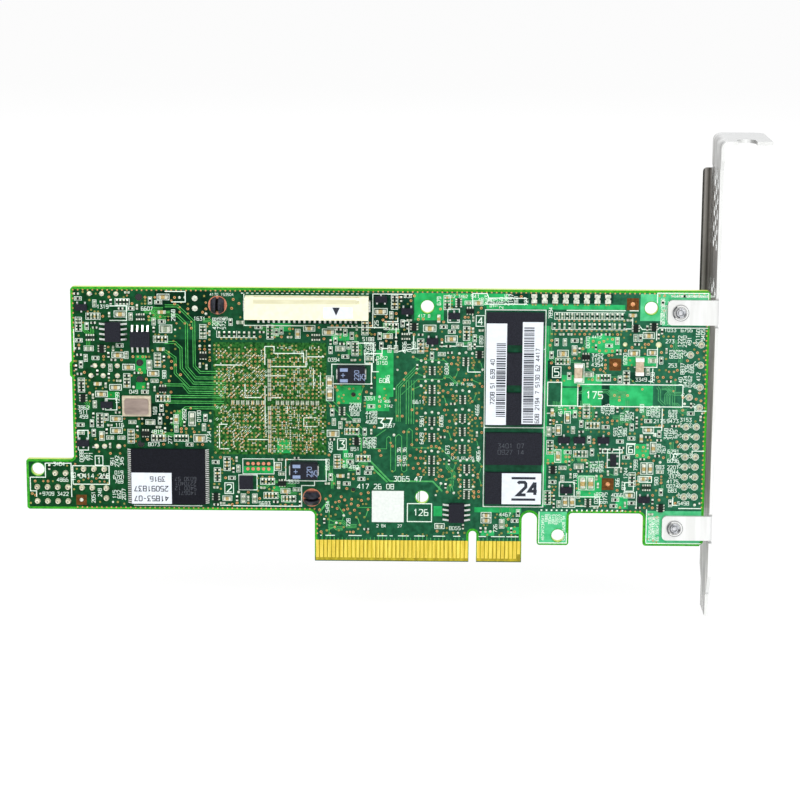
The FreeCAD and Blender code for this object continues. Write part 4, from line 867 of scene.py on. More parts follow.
@dataclass
class Relief:
    """Thin raised shapes on one face of the board, gathered and built as one mesh."""

    name: str
    side: Side
    finish: Finish
    height: float = 0.03
    base: float = 0.0
    rise: float = 0.0006
    count: int = 0
    verts: list[Spot] = field(default_factory=list)
    faces: list[tuple[int, ...]] = field(default_factory=list)

    def levels(self) -> Point:
        """Gives the foot and the top of the next shape, a hair over those before it."""
        self.count += 1
        return self.base, self.base + self.height + self.rise * (self.count % RELIEF_ROUND)

    def prism(self, points: Sequence[Point]) -> None:
        """Adds a closed flat shape.

        Args:
            points: Its outline along the card and up it, in either direction.
        """
        outline = [(self.side.across(x), z) for x, z in points]
        if doubled_area(outline) <= 0:
            outline.reverse()
        n, start = len(outline), len(self.verts)
        for level in self.levels():
            self.verts += [(u, v, level) for u, v in outline]
        self.faces += [tuple(start + i for i in reversed(range(n))),
                       tuple(start + n + i for i in range(n))]
        self.faces += [(start + i, start + (i + 1) % n, start + n + (i + 1) % n, start + n + i)
                       for i in range(n)]

    def plate(self, x0: float, z0: float, x1: float, z1: float) -> None:
        """Adds a rectangle between two corners."""
        self.prism([(x0, z0), (x1, z0), (x1, z1), (x0, z1)])

    def pierced(self, rect: Rect, hole: Spot) -> None:
        """Adds a rectangle with a round hole in it.

        Args:
            rect: Its two corners.
            hole: The hole's middle and radius.
        """
        (x0, z0, x1, z1), (x, z, radius) = rect, hole
        turns = sorted([math.atan2(b - z, a - x) for a in (x0, x1) for b in (z0, z1)]
                       + [turn - math.pi for turn in even_turns(HOLE_SIDES)])
        outer = []
        for turn in turns:
            c, s = math.cos(turn), math.sin(turn)
            reach = min(((x1 if c > 0 else x0) - x) / c if abs(c) > NO_LENGTH else math.inf,
                        ((z1 if s > 0 else z0) - z) / s if abs(s) > NO_LENGTH else math.inf)
            outer.append((x + c * reach, z + s * reach))
        self.band(outer, circle(x, z, radius, turns))

    def disc(self, x: float, z: float, radius: float, sides: int = 12) -> None:
        """Adds a round plate."""
        self.prism(circle(x, z, radius, even_turns(sides)))

    def ring(self, x: float, z: float, inner: float, outer: float, sides: int) -> None:
        """Adds a flat ring about a point."""
        self.band(*(circle(x, z, r, even_turns(sides)) for r in (outer, inner)))

    def band(self, outer: Sequence[Point], inner: Sequence[Point], closed: bool = True) -> None:
        """Adds a band between two lines of as many points.

        Args:
            outer: The line on one side of the band.
            inner: The line on the other side.
            closed: Whether the last points join the first.
        """
        n, start = len(outer), len(self.verts)
        levels = self.levels()
        for line in (outer, inner):
            for level in levels:
                self.verts += [(self.side.across(x), z, level) for x, z in line]
        low_out, high_out, low_in, high_in = (start + n * k for k in range(4))
        made = []
        for i in range(n if closed else n - 1):
            j = (i + 1) % n
            made += [(high_out + i, high_out + j, high_in + j, high_in + i),
                     (low_out + i, low_in + i, low_in + j, low_out + j),
                     (low_out + i, low_out + j, high_out + j, high_out + i),
                     (low_in + i, high_in + i, high_in + j, low_in + j)]
        if not closed:
            made += [(low_out, high_out, high_in, low_in),
                     (low_out + n - 1, low_in + n - 1, high_in + n - 1, high_out + n - 1)]
        a, b, c = (Vector(self.verts[k]) for k in made[0][:3])
        if (b - a).cross(c - b).z < 0:
            made = [face[::-1] for face in made]
        self.faces += made

    def stroke(self, points: Sequence[Point], width: float) -> None:
        """Adds a line of one width through points given along the card and up it."""
        self.band(offset_line(points, width / 2), offset_line(points, -width / 2), False)

    def frame(self, x0: float, z0: float, x1: float, z1: float, width: float) -> None:
        """Adds the outline of a rectangle.

        Args:
            x0: Its left side.
            z0: Its foot.
            x1: Its right side.
            z1: Its head.
            width: The width of the line.
        """
        w = width / 2
        self.band([(x0 - w, z0 - w), (x1 + w, z0 - w), (x1 + w, z1 + w), (x0 - w, z1 + w)],
                  [(x0 + w, z0 + w), (x1 - w, z0 + w), (x1 - w, z1 - w), (x0 + w, z1 - w)])

    def number(self, text: str, x: float, z: float, height: float, turn: float = 0.0,
               weight: float = 0.135) -> None:
        """Adds plain numerals that start at a point and read right on their side.

        Args:
            text: The numerals.
            x: The start along the card.
            z: The start's height.
            height: The numerals' height.
            turn: The turn of the line in whole turns.
            weight: The stroke's width as a share of the height.
        """
        cosine, sine = math.cos(turn * TURN), math.sin(turn * TURN)
        for index, mark in enumerate(text):
            for line in NUMERALS[mark]:
                placed = []
                for gx, gz in line:
                    u, v = (index * NUMERAL_STEP + gx) * height, gz * height
                    placed.append((x + self.side.across(u * cosine - v * sine),
                                   z + u * sine + v * cosine))
                self.stroke(placed, weight * height)

    def build(self) -> Object | None:
        """Builds every shape as one mesh.

        Returns:
            The piece, or nothing where no shape was noted.
        """
        if not self.faces:
            return None
        mesh = bpy.data.meshes.new(self.name)
        mesh.from_pydata(self.verts, [], self.faces)
        mesh.transform(self.side.matrix())
        mesh.materials.append(self.finish.material())
        return add_piece(self.name, mesh)


# Small shapes


def shape_of(name: str, bodies: Sequence[Sequence[Sequence[Spot]]], ring: bool = False) -> Mesh:
    """Builds a small closed shape from stacks of loops.

    Args:
        name: The mesh's name.
        bodies: For each closed body, its loops from the lowest to the highest.
        ring: Whether the last loop joins the first, as round a hole.
    Returns:
        The mesh, with its faces outwards.
    """
    made = bmesh.new()
    for body in bodies:
        rows = [[made.verts.new(point) for point in loop] for loop in body]
        for low, high in zip(rows, [*rows[1:], rows[0]] if ring else rows[1:]):
            for i in range(len(low)):
                j = (i + 1) % len(low)
                made.faces.new((low[i], low[j], high[j], high[i]))
        if not ring:
            made.faces.new(rows[0][::-1])
            made.faces.new(rows[-1])
    bmesh.ops.recalc_face_normals(made, faces=made.faces)
    mesh = bpy.data.meshes.new(name)
    made.to_mesh(mesh)
    made.free()
    return mesh


def box_loops(u0: float, u1: float, v0: float, v1: float, top: float, inset: float = 0.06
              ) -> list[list[Spot]]:
    """Gives the loops of a box whose upper edges are worn down.

    Args:
        u0: One end of its length.
        u1: The other end.
        v0: Its near side.
        v1: Its far side.
        top: Its height.
        inset: How far its top is drawn in.
    Returns:
        The three loops.
    """
    u0, u1 = sorted((u0, u1))
    return [[(u0 + off, v0 + off, level), (u1 - off, v0 + off, level),
             (u1 - off, v1 - off, level), (u0 + off, v1 - off, level)]
            for off, level in ((0, 0.0), (0, top - inset), (inset, top))]


def round_loops(rings: Sequence[Point], sides: int = 8) -> list[list[Spot]]:
    """Gives the loops of a turned shape.

    Args:
        rings: The radius and the level of each ring from the foot up.
        sides: How many sides.
    Returns:
        One loop for each ring.
    """
    return [[(u, v, level) for u, v in circle(0, 0, radius, even_turns(sides))]
            for radius, level in rings]


def chip_ends() -> Mesh:
    """Builds the two metal ends of a chip part with the solder that climbs them."""
    bodies = []
    for sign in (-1, 1):
        near, far, foot = 0.26 * sign, 0.51 * sign, 0.72 * sign
        bodies.append(box_loops(near, far, -0.51, 0.51, 1.03))
        lean = [[(far, -0.5, 0), (foot, -0.5, 0), (foot, 0.5, 0), (far, 0.5, 0)],
                [(far, -0.5, 0.6), (foot, -0.5, 0.12), (foot, 0.5, 0.12), (far, 0.5, 0.6)]]
        bodies.append([loop[::sign] for loop in lean])
    return shape_of("chip_ends", bodies)


def array_ends() -> Mesh:
    """Builds the eight metal ends of a four-part resistor array."""
    return shape_of("array_ends", [
        box_loops(0.3 * sign, 0.62 * sign, middle - 0.075, middle + 0.075, 1.02, 0.02)
        for sign in (-1, 1) for middle in (-0.375, -0.125, 0.125, 0.375)])


def gull_legs() -> Mesh:
    """Builds the six bent legs of a small moulded package."""
    return shape_of("gull_legs", [
        box_loops(near * sign, far * sign, 0.32 * row - 0.08, 0.32 * row + 0.08, top, 0.03)
        for sign in (-1, 1) for row in (-1, 0, 1)
        for near, far, top in ((0.48, 0.7, 0.5), (0.66, 0.86, 0.18))])


def body_shape() -> Mesh:
    """Builds the body of a chip part, a unit long, wide and high."""
    return shape_of("chip_body", [box_loops(-0.5, 0.5, -0.49, 0.49, 1.0, 0.05)])


def ring_shape(sides: int = 7, inner: float = 0.22) -> Mesh:
    """Builds the plated ring round a hole, with an outer radius of a half."""
    return shape_of("hole_ring", [round_loops(
        [(0.5, 0), (0.46, 1), (inner, 1), (inner, 0)], sides)], True)


def dome_shape() -> Mesh:
    """Builds a low dome of solder."""
    return shape_of("solder_dome", [round_loops([(0.5, 0), (0.46, 0.4), (0.32, 0.8),
                                                 (0.12, 1)])])


def joint_shape() -> Mesh:
    """Builds the solder that climbs the tail of a post up to its end."""
    return shape_of("post_joint", [round_loops([(0.5, 0), (0.48, 0.25), (0.38, 0.75), (0.31, 1)],
                                               12)])


def post_shape() -> Mesh:
    """Builds the blunt end of a post."""
    return shape_of("post_end", [round_loops([(0.5, 0), (0.5, 0.97), (0.4, 1)], 10)])


# The board's faces


def about(x: float, z: float, dx: float, dz: float | None = None) -> Rect:
    """Gives the rectangle round a point, square where only one half of its size is given."""
    dz = dx if dz is None else dz
    return x - dx, z - dz, x + dx, z + dz


def corners(x: float, z: float, *steps: float | Point) -> list[Point]:
    """Gives a line that mostly turns square corners.

    Args:
        x: Its start along the card.
        z: Its start's height.
        steps: By turns the next place along the card and the next height, or a point that
            a slanting stretch leads to.
    Returns:
        Its points.
    """
    points, along = [(x, z)], True
    for step in steps:
        if isinstance(step, tuple):
            (x, z), along = step, True
        else:
            x, z, along = (step, z, False) if along else (x, step, True)
        if points[-1] != (x, z):
            points.append((x, z))
    return points


def islands(node: Object, side: Side | None = None, loose: bool = False
            ) -> list[tuple[Vector, Vector]]:
    """Finds the box of each separate solid in a node of the model.

    Args:
        node: The node's object.
        side: The side of the board whose part of the solid counts, or nothing for all of it.
        loose: Whether each corner stands for itself, as on the tails of a folded shield.
    Returns:
        The lowest and highest corner of each solid, in millimetres.
    """
    keys = [tuple(round(c, 6) for c in v.co) for v in node.data.vertices]
    parent: dict[tuple, tuple] = {key: key for key in keys}

    def root(key: tuple) -> tuple:
        """Follows a corner to the one that stands for its solid."""
        while parent[key] != key:
            parent[key] = parent[parent[key]]
            key = parent[key]
        return key

    for face in node.data.polygons:
        first = root(keys[face.vertices[0]])
        for other in face.vertices[1:]:
            parent[root(keys[other])] = first
    found: dict[tuple, list[Vector]] = {}
    for key in set(keys):
        spot = Vector(key) / MM
        if side is None or (spot.y < SOLDER_CLEAR if side is Side.SOLDER
                            else spot.y > COMPONENT_CLEAR):
            found.setdefault(key if loose else root(key), []).append(spot)
    return [(Vector(map(min, *points, points[0])), Vector(map(max, *points, points[0])))
            for points in found.values() if loose or len(points) > 1]


def face_loops(node: Object, level: float) -> list[list[Point]]:
    """Finds the closed edges of a node's flat face.

    Args:
        node: The node's object.
        level: The face's place along Y, in metres.
    Returns:
        Each edge as a closed line along X and Z, in millimetres.
    """
    mesh = node.data
    spot = {v.index: (round(v.co.x / MM, 3), round(v.co.z / MM, 3)) for v in mesh.vertices
            if abs(v.co.y - level) < 1e-6}
    ahead: dict[tuple[Point, Point], None] = {}
    for face in mesh.polygons:
        if all(index in spot for index in face.vertices):
            ring = [spot[index] for index in face.vertices]
            ahead.update({(a, b): None for a, b in zip(ring, [*ring[1:], ring[0]]) if a != b})
    follow = {a: b for a, b in ahead if (b, a) not in ahead}
    loops = []
    while follow:
        start, at = follow.popitem()
        loop = [start]
        while at != start and at in follow:
            loop.append(at)
            at = follow.pop(at)
        loops.append(loop)
    return loops


@dataclass
class Ground:
    """Keeps count of where a face of the board is still free."""

    step: float = 0.25
    left: float = -112.0
    low: float = 3.0
    wide: int = 700
    tall: int = 280
    blocked: bytearray = field(default_factory=lambda: bytearray(b"\x01") * (700 * 280))

    def cells(self, rect: Rect) -> Iterable[int]:
        """Gives the cells that a rectangle touches."""
        x0, x1 = (int((x - self.left) / self.step) for x in (rect[0], rect[2]))
        z0, z1 = (int((z - self.low) / self.step) for z in (rect[1], rect[3]))
        for row in range(max(z0, 0), min(z1 + 1, self.tall)):
            start = row * self.wide
            yield from range(start + max(x0, 0), start + min(x1 + 1, self.wide))

    def open(self, rect: Rect) -> None:
        """Frees a rectangle."""
        for cell in self.cells(rect):
            self.blocked[cell] = 0

    def take(self, rect: Rect) -> None:
        """Takes a rectangle."""
        for cell in self.cells(rect):
            self.blocked[cell] = 1

    def free(self, rect: Rect) -> bool:
        """Says whether a rectangle is wholly free."""
        return not any(self.blocked[cell] for cell in self.cells(rect))


@dataclass(frozen=True)
class Mix:
    """How many of each small thing a hundred square millimetres of board carry."""

    bundles: float = 0.0
    arrays: float = 0.0
    rows: float = 0.0
    blocks: float = 0.0
    legged: float = 0.0
    stacks: float = 0.0
    framed: float = 0.0
    numbers: float = 0.0
    chips: float = 0.0
    links: float = 0.0
    rings: float = 0.0
    dots: float = 0.0
    upright: float = 0.5


# The stretches of the board that parts may lie on, and those that the bracket's feet cover.
OPEN_STRETCHES = (
    (-98, 14, 56.4, 67.9), (-109.8, 14, -97, 25), (-38.4, 7.2, -1.5, 14.5),
    (1.5, 7.2, 11.5, 14.5), (16.6, 5.3, 23.2, 14.5), (42.9, 5.3, 56.5, 14.5))
BRACKET_FEET = ((46.5, 60.2, 57.2, 67), (46.2, 5.9, 57.2, 12.8))
# The gold contacts stand on the first stretch and the second, from end to end.
CONTACT_STRETCHES = ((-38.95, -1.05), (1.05, 12))
# The line round a small part, how often a thing seeks free ground, and the places in a
# millimetre that it may stand on.
FRAME_LINE = 0.11
TRIES = 16
PLACES = 2.5
# What stays free round a part, round a small hole and round one wider than the next radius.
FREE, FREE_WIDE, WIDE_HOLE = 0.25, 0.5, 1.4
# The widths of the openings in the board that count as holes.
HOLE_WIDTHS = (0.9, 8)
# Openings of less than the first area, in square millimetres, have no bare margin, those of
# less than the second a narrow one, and an area over the third is the board's own outline.
NO_MARGIN, THIN_MARGIN, OUTLINE_AREA = 7, 12, 1000
# A part's height for its width: resistors, then capacitors.
FLAT, THICK = 0.5, 0.85
# Plated holes wider than this are never under the mask.
BARE_HOLE = 0.65
# The length, width and height of small parts over their bodies or their metal ends.
ARRAY_BODY, ARRAY_ENDS, LEGGED_BODY = (1.1, 2.3, 0.4), (1.3, 2.3, 0.4), (1.15, 2.0, 0.8)
SMALL_CHIP, ROW_CHIP, BLOCK_CHIP = (0.95, 0.5), (0.95, 0.45), (1.4, 0.78)
# The height of place numbers and the step from one line of them to the next.
DIGIT_HEIGHT, DIGIT_LINE = 0.86, 1.15


@dataclass
class BoardFace:
    """Everything flat or small on one face of the board."""

    side: Side
    prefix: str
    ground: Ground = field(default_factory=Ground)

    def __post_init__(self) -> None:
        """Starts an empty collection for each finish."""
        self.pours = self.relief("copper_areas", POUR, 0.008)
        self.pale = self.relief("pale_areas", PALE_POUR, 0.006)
        self.lattice = self.relief("ball_field", LATTICE, 0.01)
        self.shades = self.relief("bare_areas", SHADE, 0.005)
        self.windows = self.relief("open_windows", BROWN, 0.012)
        self.margin = self.relief("bare_margin", MARGIN, 0.014)
        self.copper = self.relief("copper_rings", COPPER, 0.035)
        self.tracks = Tracks(f"{self.prefix}_fine_tracks", self.side, TRACE, 0.19, 0.034)
        self.wide_tracks = Tracks(f"{self.prefix}_wide_tracks", self.side, TRACE, 0.42, 0.03)
        self.legend = self.relief("legend_lines", SILK, 0.045)
        self.numerals = self.relief("legend_numerals", SILK, 0.05)
        self.vias = self.stand("plated_rings", ring_shape(), VIA_RING)
        self.tented = self.stand("tented_rings", ring_shape(6, 0.16), VIA_TENTED)
        self.dots = self.stand("test_pads", dome_shape(), SOLDER)
        self.cream = self.stand("shield_joints", dome_shape(), CREAM)
        self.joints = self.stand("post_joints", joint_shape(), CREAM)
        self.joint_ends = self.stand("post_ends", post_shape(), JOINT_END)
        self.black = self.stand("chip_resistors", body_shape(), CHIP_BLACK)
        self.dark = self.stand("array_bodies", body_shape(), CHIP_DARK)
        self.tan = self.stand("chip_capacitors", body_shape(), CHIP_TAN)
        self.grey = self.stand("grey_capacitors", body_shape(), CHIP_GREY)
        self.ends = self.stand("chip_ends", chip_ends(), SOLDER)
        self.array_ends = self.stand("array_ends", array_ends(), SOLDER)
        self.legs = self.stand("package_legs", gull_legs(), SOLDER)
        self.open_board()

    def relief(self, label: str, finish: Finish, height: float, base: float = 0.0) -> Relief:
        """Starts a collection of flat shapes on this face."""
        return Relief(f"{self.prefix}_{label}", self.side, finish, height, base)

    def stand(self, label: str, shape: Mesh, finish: Finish) -> Stand:
        """Starts a collection of copies of one shape on this face."""
        return Stand(f"{self.prefix}_{label}", self.side, shape, finish)

    def open_board(self) -> None:
        """Frees the board's outline and takes what the model already has on this side."""
        for rect in OPEN_STRETCHES:
            self.ground.open(rect)
        for name, node in frame["nodes"].items():
            if name in ("circuit_board", "mounting_bracket"):
                continue
            for low, high in islands(node, self.side, name.startswith("port_cage")):
                self.ground.take((low.x - FREE, low.z - FREE, high.x + FREE, high.z + FREE))
        for rect in BRACKET_FEET:
            self.ground.take(rect)
        self.loops = face_loops(frame["nodes"]["circuit_board"], self.side.level())
        self.holes: list[Spot] = []
        for loop in self.loops:
            low, high = (tuple(map(pick, *loop)) for pick in (min, max))
            if HOLE_WIDTHS[0] < high[0] - low[0] < HOLE_WIDTHS[1]:
                self.holes.append(((low[0] + high[0]) / 2, (low[1] + high[1]) / 2,
                                   (high[0] - low[0]) / 2))
        for x, z, radius in self.holes:
            self.ground.take(about(x, z, radius + (FREE_WIDE if radius > WIDE_HOLE else FREE)))

    def pour(self, group: Relief, rects: Iterable[Rect]) -> None:
        """Adds flat areas that leave the board's holes open.

        Args:
            group: The collection that they belong to.
            rects: The two corners of each.
        """
        for rect in rects:
            x0, z0, x1, z1 = rect
            for x, z, r in self.holes:
                if x0 < x - r and x + r < x1 and z0 < z - r and z + r < z1:
                    group.pierced(rect, (x, z, r + 0.05))
                    break
            else:
                group.plate(*rect)

    def add_contact_bed(self, node: str, height: float) -> None:
        """Adds the bare laminate that the gold contacts of one side lie on.

        Args:
            node: The contacts' node.
            height: How far the laminate stands out.
        """
        bed = self.relief("contact_bed", FINGER_BED, height, 0.002)
        for x0, x1 in CONTACT_STRETCHES:
            bed.plate(x0, 0.35, x1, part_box(node)[1].z / MM)
        bed.build()

    # single things

    def via(self, x: float, z: float, wide: float = 0.62) -> None:
        """Adds a plated hole, bare if it is wide or, by its place, one of three."""
        bare = wide > BARE_HOLE or int(x * 7.3 + z * 3.1) % 3 == 0
        (self.vias if bare else self.tented).put(x, z, (wide, wide, 0.05))

    def dot(self, x: float, z: float, wide: float = 0.7) -> None:
        """Adds a round tinned test pad."""
        self.dots.put(x, z, (wide, wide, 0.09))

    def chip(self, x: float, z: float, long: float, wide: float, kind: Stand,
             turn: float = 0.0) -> None:
        """Adds a chip part with its soldered ends.

        Args:
            x: Place along the card.
            z: Height on the card.
            long: Its length over the metal ends.
            wide: Its width.
            kind: The bodies that it belongs to.
            turn: Its turn in whole turns.
        """
        tall = wide * (FLAT if kind is self.black else THICK)
        for group in (kind, self.ends):
            group.put(x, z, (long, wide, tall), turn)

    # small groups, each drawn about its middle and upright or lying

    def array(self, x: float, z: float, upright: bool, _: Dice) -> None:
        """Adds a four-part resistor array."""
        turn = 0.0 if upright else 0.25
        self.dark.put(x, z, ARRAY_BODY, turn)
        self.array_ends.put(x, z, ARRAY_ENDS, turn)

    def row(self, x: float, z: float, upright: bool, dice: Dice) -> None:
        """Adds four small chips side by side in a thin frame."""
        for index in range(4):
            off = (index - 1.5) * 0.84
            kind = dice.choice((self.black, self.black, self.grey, self.tan))
            at = (x + off, z) if upright else (x, z + off)
            self.chip(*at, *ROW_CHIP, kind, 0.25 if upright else 0.0)
            if dice.random() < 0.5:
                self.via(at[0] + (0 if upright else 1.15), at[1] + (1.15 if upright else 0), 0.5)
        self.outline(x, z, upright, 0.8, 1.75)

    def outline(self, x: float, z: float, upright: bool, dx: float, dz: float) -> None:
        """Adds a thin frame, whose half sizes are those of a lying thing."""
        half = (dz, dx) if upright else (dx, dz)
        self.legend.frame(*about(x, z, *half), FRAME_LINE)

    def block(self, x: float, z: float, upright: bool, dice: Dice) -> None:
        """Adds a middling capacitor in its frame."""
        kind = dice.choice((self.tan, self.grey, self.tan))
        self.chip(x, z, *BLOCK_CHIP, kind, 0.25 if upright else 0.0)
        if dice.random() < 0.6:
            self.outline(x, z, upright, 1.15, 0.6)

    def framed(self, x: float, z: float, upright: bool, dice: Dice) -> None:
        """Adds a small chip in its frame."""
        self.small(x, z, upright, dice)
        self.outline(x, z, upright, 0.88, 0.43)

    def small(self, x: float, z: float, upright: bool, dice: Dice) -> None:
        """Adds a small chip on its own."""
        kind = dice.choice((self.black, self.black, self.grey))
        self.chip(x, z, *SMALL_CHIP, kind, 0.25 if upright else 0.0)

    def legged(self, x: float, z: float, upright: bool, _: Dice) -> None:
        """Adds a small package on six bent legs."""
        for group in (self.black, self.legs):
            group.put(x, z, LEGGED_BODY, 0.0 if upright else 0.25)

    def digits(self, x: float, z: float, upright: bool, dice: Dice, lines: int = 1) -> None:
        """Adds plain numbers such as place numbers.

        Args:
            x: Their middle along the card.
            z: Their middle's height.
            upright: Whether they read upwards.
            dice: The source of their numerals.
            lines: How many numbers stand one over the other.
        """
        tall, flip = DIGIT_HEIGHT, self.side.value
        for line in range(lines):
            count = dice.choice((3, 4, 4))
            text = "".join(dice.choice("1234567890") for _ in range(count))
            half = (count * NUMERAL_STEP - NUMERAL_GAP) * tall / 2
            off = (line - (lines - 1) / 2) * DIGIT_LINE
            if upright:
                self.numerals.number(text, x + flip * (tall / 2 + off), z - half, tall, 0.25)
            else:
                self.numerals.number(text, x - flip * half, z - tall / 2 - off, tall)

    def stack(self, x: float, z: float, upright: bool, dice: Dice) -> None:
        """Adds three plain numbers, one over the other."""
        self.digits(x, z, upright, dice, 3)

    def route(self, x: float, z: float, upright: bool, dice: Dice) -> None:
        """Adds two to four tracks that run side by side with a slanting bend."""
        ahead, bend = dice.uniform(1.0, 2.4), dice.choice((-1, 1)) * dice.uniform(0.6, 1.6)
        line = [(-ahead - abs(bend) / 2, -bend / 2), (-abs(bend) / 2, -bend / 2),
                (abs(bend) / 2, bend / 2), (ahead + abs(bend) / 2, bend / 2)]
        self.tracks.bundle([(x + v, z + u) if upright else (x + u, z + v) for u, v in line],
                           dice.choice((2, 3, 3, 4)), 0.38)

    def link(self, x: float, z: float, upright: bool, dice: Dice) -> None:
        """Adds two plated holes joined by a bent track."""
        du, dv = (0.45, 1.0) if upright else (1.0, 0.45)
        flip = dice.choice((-1, 1))
        self.via(x - du, z - dv * flip)
        end = self.via if dice.random() < 0.5 else self.dot
        end(x + du, z + dv * flip)
        self.tracks.run((x - du, z - dv * flip), (x, z - (dv - du) * flip if upright else z),
                        (x + du, z + dv * flip))

    def hole(self, x: float, z: float, _: bool, dice: Dice) -> None:
        """Adds a plated hole of one of three sizes."""
        self.via(x, z, dice.choice((0.5, 0.58, 0.7)))

    def pad(self, x: float, z: float, _: bool, dice: Dice) -> None:
        """Adds a test pad of one of two sizes."""
        self.dot(x, z, dice.choice((0.55, 0.72)))

    def fill(self, rect: Rect, mix: Mix, seed: int) -> None:
        """Scatters a mix of small things over a stretch where the ground is free.

        Args:
            rect: The stretch.
            mix: What it carries.
            seed: The seed of its layout.
        """
        dice = Dice(seed)
        area = (rect[2] - rect[0]) * (rect[3] - rect[1]) / 100
        plan = ((mix.bundles, self.route, 3.6, 6.0), (mix.arrays, self.array, 2.0, 2.8),
                (mix.rows, self.row, 1.9, 3.8), (mix.blocks, self.block, 1.4, 2.5),
                (mix.legged, self.legged, 2.2, 2.2), (mix.stacks, self.stack, 3.4, 2.9),
                (mix.framed, self.framed, 1.0, 2.1), (mix.numbers, self.digits, 1.1, 2.9),
                (mix.chips, self.small, 0.7, 1.5), (mix.links, self.link, 1.4, 2.6),
                (mix.rings, self.hole, 0.7, 0.7), (mix.dots, self.pad, 0.8, 0.8))
        for rate, draw, across, along in plan:
            wanted = rate * area
            wanted = int(wanted) + (dice.random() < wanted % 1)
            for _ in range(wanted * TRIES):
                if not wanted:
                    break
                x, z = (round(dice.uniform(rect[i], rect[i + 2]) * PLACES) / PLACES
                        for i in (0, 1))
                upright = dice.random() < mix.upright
                wide, tall = (across, along) if upright else (along, across)
                if draw == self.row:
                    wide, tall = tall, wide
                spot = about(x, z, wide / 2, tall / 2)
                if not self.ground.free(spot):
                    continue
                wanted -= 1
                if draw != self.route:
                    self.ground.take(spot)
                draw(x, z, upright, dice)

    def add_margin(self, wide: float = 0.62) -> None:
        """Adds the bare strip round the board's edge and round its mounting holes.

        Args:
            wide: The strip's width.
        """
        for loop in self.loops:
            area = doubled_area(loop) / 2
            if abs(area) < NO_MARGIN:
                continue
            outer = abs(area) > OUTLINE_AREA
            inward = wide if (area > 0) == outer else -wide
            reach = 0.3 if abs(area) < THIN_MARGIN else 1.0
            shut = [loop[-1], *loop, loop[0]]
            self.margin.band(*(offset_line(shut, inward * share)[1:-1]
                               for share in (0.03, reach)))

    def build(self) -> None:
        """Builds every collection that holds something."""
        for group in vars(self).values():
            if isinstance(group, (Relief, Tracks, Stand)):
                group.build()


# The layout of each face. Rectangles give two corners, and lines follow `corners`.
DENSE = Mix(bundles=1.6, arrays=0.5, rows=1.5, blocks=1.2, legged=0.5, stacks=1.5, framed=6,
            numbers=8, chips=9, links=1.5, rings=24, dots=6)
POWER = Mix(bundles=3, rows=1.6, blocks=1, legged=0.5, stacks=0.8, framed=3.5, numbers=5,
            chips=4, links=1.5, rings=22, dots=4, upright=0.75)
OPEN = Mix(bundles=2, numbers=1.4, chips=1, links=4, rings=18, dots=6)
PRINTED = Mix(bundles=1.5, stacks=3.4, framed=0.6, numbers=12, chips=1, rings=12, dots=8,
              upright=0.6)
TRACKED = Mix(bundles=5, rings=8)
RINGED = Mix(numbers=0.5, rings=10, dots=2)
MIXED = Mix(bundles=2, arrays=0.2, rows=0.4, blocks=0.4, legged=0.3, stacks=2.6, framed=3.6,
            numbers=9, chips=6, links=1, rings=30, dots=16)
BACK = Mix(bundles=4, arrays=0.3, rows=0.8, blocks=1.2, legged=0.3, stacks=0.4, framed=1.6,
           numbers=2.5, chips=3, rings=7, dots=1.5)

# The lighter stretches where copper lies under the mask.
COPPER_AREAS = (
    (-14.8, 61.2, -7.6, 68), (-7.6, 64.9, 3, 67.9), (3, 66, 8, 67.9), (2.8, 64.1, 36.5, 65.3),
    (16.8, 46.5, 18.2, 60), (16.8, 14.6, 18, 46.5), (-24, 42, -19.8, 53.7),
    (-26.5, 38.4, -20.8, 42.2), (-33.8, 40.2, -27.6, 44.8), (-35, 56, -30.6, 57.8),
    (27.4, 53.4, 35.4, 57.4), (36.4, 50.2, 44.4, 52.6), (26.4, 40.2, 31.2, 47.8),
    (21.4, 45, 26.4, 47.8), (21.2, 38, 25.2, 44.6), (33.2, 40.2, 43.8, 45.3),
    (17.7, 25.6, 23.6, 29.2), (25.6, 16.8, 31.7, 22.6), (35.3, 14.1, 38.3, 17.3),
    (39.8, 27, 43.2, 30.6), (-90, 41.3, -87.3, 42.8), (-83, 47.4, -80.4, 52),
    (-83, 43.4, -80.6, 45.2), (-58.8, 48.4, -55.2, 49.6), (-56.7, 22.5, -49.3, 24.2),
    (-32.2, 24, -30.9, 28.6), (0.4, 12.9, 12, 14.2), (8.6, 7.4, 11.6, 9.2), (2, 6.9, 5.4, 8.2),
    (-48.4, 27.6, -45, 31), (-46.4, 17.9, -49.6, 19.2), (-9.7, 11.8, -7.6, 14.4),
    (-49.8, 58.2, -44.8, 60.2))
# The palest ones, round the mounting holes.
PALE_AREAS = (
    (16.5, 5.2, 23.3, 13.2), (42.9, 5.3, 56.6, 13.6), (40.2, 61.4, 45.6, 68.1),
    (45.6, 60.2, 56.8, 68.2))
# The darkest stretches, with no copper, and one strip of painted shadow under the ivory
# connector.
BARE_AND_SHADOW_AREAS = (
    (13.2, 65.7, 33.6, 68), (8.4, 65.6, 13, 68), (-26, 53.6, -15.4, 67.6),
    (36.8, 46.2, 44.2, 48.6), (-74.6, 38, -64.4, 56), (25.6, 40.2, 26.4, 45.3),
    (31.4, 40.2, 33.2, 45.3), (-78, 60.6, -64.6, 68), (-82, 30, -74, 40),
    # the first stretch below is painted shadow under the ivory connector's body, round its leads
    (-55.6, 60.1, -26.2, 61.75), (17.9, 46.6, 21.2, 51.4))
